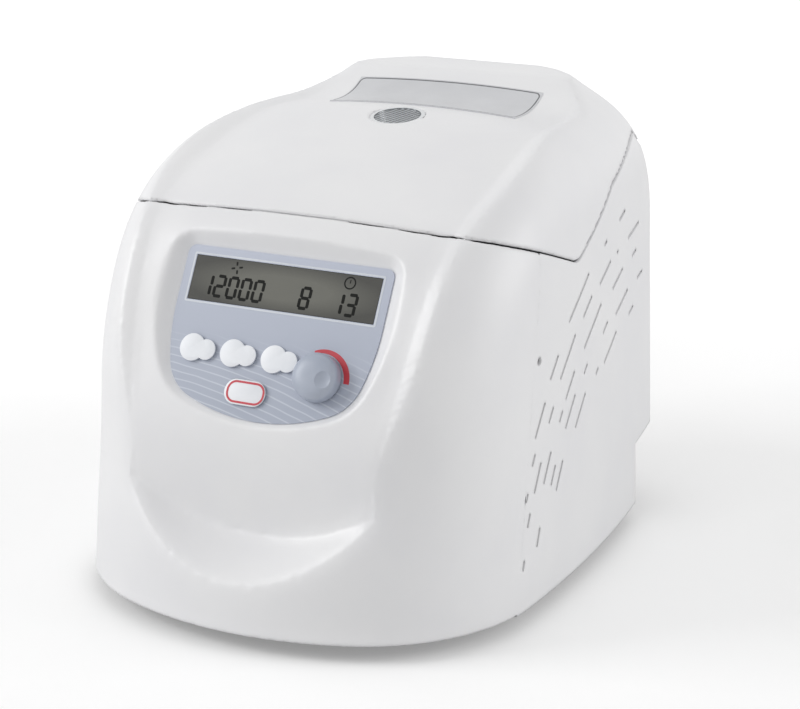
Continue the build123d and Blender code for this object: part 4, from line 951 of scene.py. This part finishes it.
class CENTRIFUGE_OT_keys(bpy.types.Operator):
    """Build the three keys of the row and the wide start key with its red ring"""

    bl_idname = "centrifuge.keys"
    bl_label = "Keys"

    def execute(self, context):
        white = plain_plastic("ABS_key_white", "#E9ECF1", "#F1F3F7", 0.35)
        for i, name in enumerate(("button_left", "button_middle", "button_right")):
            key = round_block(KEY_RADIUS, KEY_LOW, KEY_TOP)
            lobe = round_block(KEY_LOBE_RADIUS, KEY_LOW, KEY_TOP, *KEY_LOBE_PLACE)
            combine(key, lobe, "UNION")
            soften(key, KEY_ROUND, 50)
            key = join([key, round_block(KEY_STEM, KEY_FOOT, KEY_LOW)])
            place = panel_matrix(KEY_X + i * KEY_PITCH, KEY_DROP)
            settle(key, f"{name}_cap", place, f"{name}_body", white)
            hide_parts(name)
        cap = rounded_plate(0.0264, 0.0146, 0.0072, KEY_TOP - KEY_LOW)
        cap.location.z = KEY_LOW
        soften(cap, KEY_ROUND, 50)
        stem = rounded_plate(0.0180, 0.0090, 0.0044, KEY_LOW - KEY_FOOT)
        stem.location.z = KEY_FOOT
        start = join([cap, stem])
        place = panel_matrix(START_X, START_DROP)
        settle(start, "start_button_cap", place, "start_button_body", white)
        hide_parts("start_button")
        red = plain_plastic("ink_pad_printed_red", "#BE3644", "#C83F4C", 0.4, 0.0)
        ring = outline_ring(0.0243, 0.0129, 0.0058, 0.0012, 0.0001)
        place = panel_matrix(START_X + 0.0006, START_DROP, KEY_TOP)
        settle(ring, "start_button_red_ring", place, "start_button_body", red)
        return {"FINISHED"}


class CENTRIFUGE_OT_dial(bpy.types.Operator):
    """Build the domed dial with its finger dimple"""

    bl_idname = "centrifuge.dial"
    bl_label = "Dial"

    def execute(self, context):
        settings = context.scene.centrifuge
        blue = plain_plastic("ABS_dial_blue_grey", settings.dial_dark, settings.dial_light, 0.36)
        dial = self.dome()
        self.dimple(dial)
        soften(dial, 0.0009, 24)
        stem = round_block(0.003, -0.0086, 0.0025, segments=32)
        place = panel_matrix(DIAL_X, DIAL_DROP)
        settle(join([dial, stem]), "dial_knob", place, "control_dial_body", blue)
        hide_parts("control_dial")
        return {"FINISHED"}

    def dome(self):
        """Rings extruded one over the other along a flattened dome."""
        rings = list(DIAL_SKIRT)
        base, radius = DIAL_SKIRT[-1]
        for step in range(1, DOME_STEPS + 1):
            angle = radians(DOME_STEP_ANGLE * step)
            rings.append((base + DOME_RISE * sin(angle) ** 0.92, radius * cos(angle) ** 0.68))
        clear_selection()
        bpy.ops.mesh.primitive_circle_add(vertices=96, radius=rings[0][1], fill_type="NGON")
        obj = bpy.context.object
        bpy.ops.object.mode_set(mode="EDIT")
        bpy.ops.mesh.select_all(action="SELECT")
        bpy.ops.transform.translate(value=(0.0, 0.0, rings[0][0]))
        for (low, wide), (high, narrow) in zip(rings, rings[1:]):
            rise = {"value": (0.0, 0.0, high - low)}
            bpy.ops.mesh.extrude_region_move(TRANSFORM_OT_translate=rise)
            bpy.ops.transform.resize(value=(narrow / wide, narrow / wide, 1.0))
        bpy.ops.mesh.select_all(action="SELECT")
        bpy.ops.mesh.normals_make_consistent(inside=False)
        bpy.ops.object.mode_set(mode="OBJECT")
        return obj

    def dimple(self, dial):
        """Hollow the dome for a fingertip, off its middle."""
        clear_selection()
        bpy.ops.mesh.primitive_uv_sphere_add(
            segments=64, ring_count=48, radius=DIMPLE_RADIUS, location=DIMPLE_PLACE
        )
        combine(dial, bpy.context.object, "DIFFERENCE")


class CENTRIFUGE_OT_stage(bpy.types.Operator):
    """Build the pale floor, the soft lamps and the camera"""

    bl_idname = "centrifuge.stage"
    bl_label = "Stage"

    def execute(self, context):
        scene = context.scene
        clear_selection()
        bpy.ops.mesh.primitive_plane_add(size=16.0, location=(0.0, 0.0, 0.0))
        floor = context.object
        floor.name = "studio_floor"
        give(floor, self.floor_paper())
        for name, spot, size, share in LAMPS:
            clear_selection()
            bpy.ops.object.light_add(type="AREA", location=spot)
            lamp = context.object
            lamp.name = name
            lamp.data.size = size
            lamp.data.energy = scene.centrifuge.lamp_power * share
            aim = LAMP_AIM - Vector(spot)
            lamp.rotation_euler = aim.to_track_quat("-Z", "Y").to_euler()
        self.studio_world(scene)
        self.camera(context)
        scene.view_settings.view_transform = "Standard"
        return {"FINISHED"}

    def floor_paper(self):
        """Matt white background paper, which the camera sees a little brighter than it is lit."""
        material, tree, shader, coordinates = new_material("paper_matt_white")
        colour = speckled(tree, coordinates, "#E6E6E6", "#EAEAEA", 3.0)
        dress(tree, shader, colour, None, 0.9, shader.inputs["IOR"].default_value)
        shader.inputs["Specular IOR Level"].default_value = 0.1
        path = add_node(tree, "ShaderNodeLightPath")
        # The added light grows from the machine to the edge of the picture
        away = vector_step(tree, "LENGTH", coordinates)
        white = between(tree, away.outputs["Value"], 0.33, 1.6, 0.25, 0.65)
        glow = calculated(tree, "MULTIPLY", path.outputs["Is Camera Ray"], white)
        shader.inputs["Emission Color"].default_value = WHITE
        tree.links.new(glow, shader.inputs["Emission Strength"])
        return material

    def studio_world(self, scene):
        """An even white surround that the camera and the reflections see as white."""
        world = bpy.data.worlds.new("studio_surround")
        world.use_nodes = True
        scene.world = world
        tree = world.node_tree
        tree.nodes.clear()
        light = add_node(tree, "ShaderNodeBackground", {"Color": WHITE, "Strength": 0.57})
        white = add_node(tree, "ShaderNodeBackground", {"Color": WHITE, "Strength": 1.0})
        rays = add_node(tree, "ShaderNodeLightPath").outputs
        seen = calculated(tree, "MAXIMUM", rays["Is Camera Ray"], rays["Is Glossy Ray"])
        seen = calculated(tree, "MAXIMUM", seen, rays["Is Transmission Ray"])
        links = {0: seen, 1: light.outputs[0], 2: white.outputs[0]}
        mix = add_node(tree, "ShaderNodeMixShader", {}, links)
        add_node(tree, "ShaderNodeOutputWorld", {}, {"Surface": mix.outputs[0]})

    def camera(self, context):
        """A camera at the photograph's place, lens and framing."""
        turn, rise = CAMERA_TURN, CAMERA_RISE
        out = Vector((sin(turn) * cos(rise), -cos(turn) * cos(rise), sin(rise)))
        right = Vector((cos(turn), sin(turn), 0.0))
        up = out.cross(right)
        clear_selection()
        bpy.ops.object.camera_add()
        camera = context.object
        camera.name = "studio_camera"
        axes = Matrix((right, up, out)).transposed().to_4x4()
        camera.matrix_world = Matrix.Translation(CAMERA_AIM + out * CAMERA_DISTANCE) @ axes
        camera.data.sensor_width = 36.0
        camera.data.lens = CAMERA_LENS
        camera.data.shift_x, camera.data.shift_y = CAMERA_SHIFT
        context.scene.camera = camera


class CENTRIFUGE_PT_sidebar(bpy.types.Panel):
    """Lists the pieces that can be built"""

    bl_label = "Centrifuge"
    bl_idname = "CENTRIFUGE_PT_sidebar"
    bl_space_type = "VIEW_3D"
    bl_region_type = "UI"
    bl_category = "Centrifuge"

    def draw(self, context):
        settings = context.scene.centrifuge
        for name in settings.bl_rna.properties.keys():
            if name not in {"rna_type", "name"}:
                self.layout.prop(settings, name)
        for operator in OPERATORS:
            self.layout.operator(operator.bl_idname)


OPERATORS = (
    CENTRIFUGE_OT_stage,
    CENTRIFUGE_OT_finishes,
    CENTRIFUGE_OT_mouldings,
    CENTRIFUGE_OT_film,
    CENTRIFUGE_OT_keys,
    CENTRIFUGE_OT_dial,
    CENTRIFUGE_OT_figures,
)
CLASSES = (DressingSettings, *OPERATORS, CENTRIFUGE_PT_sidebar)


def register():
    for item in CLASSES:
        bpy.utils.register_class(item)
    bpy.types.Scene.centrifuge = bpy.props.PointerProperty(type=DressingSettings)


def unregister():
    del bpy.types.Scene.centrifuge
    for item in reversed(CLASSES):
        bpy.utils.unregister_class(item)


def main():
    register()
    for operator in OPERATORS:
        group, action = operator.bl_idname.split(".")
        getattr(getattr(bpy.ops, group), action)()


if __name__ == "__main__":
    main()
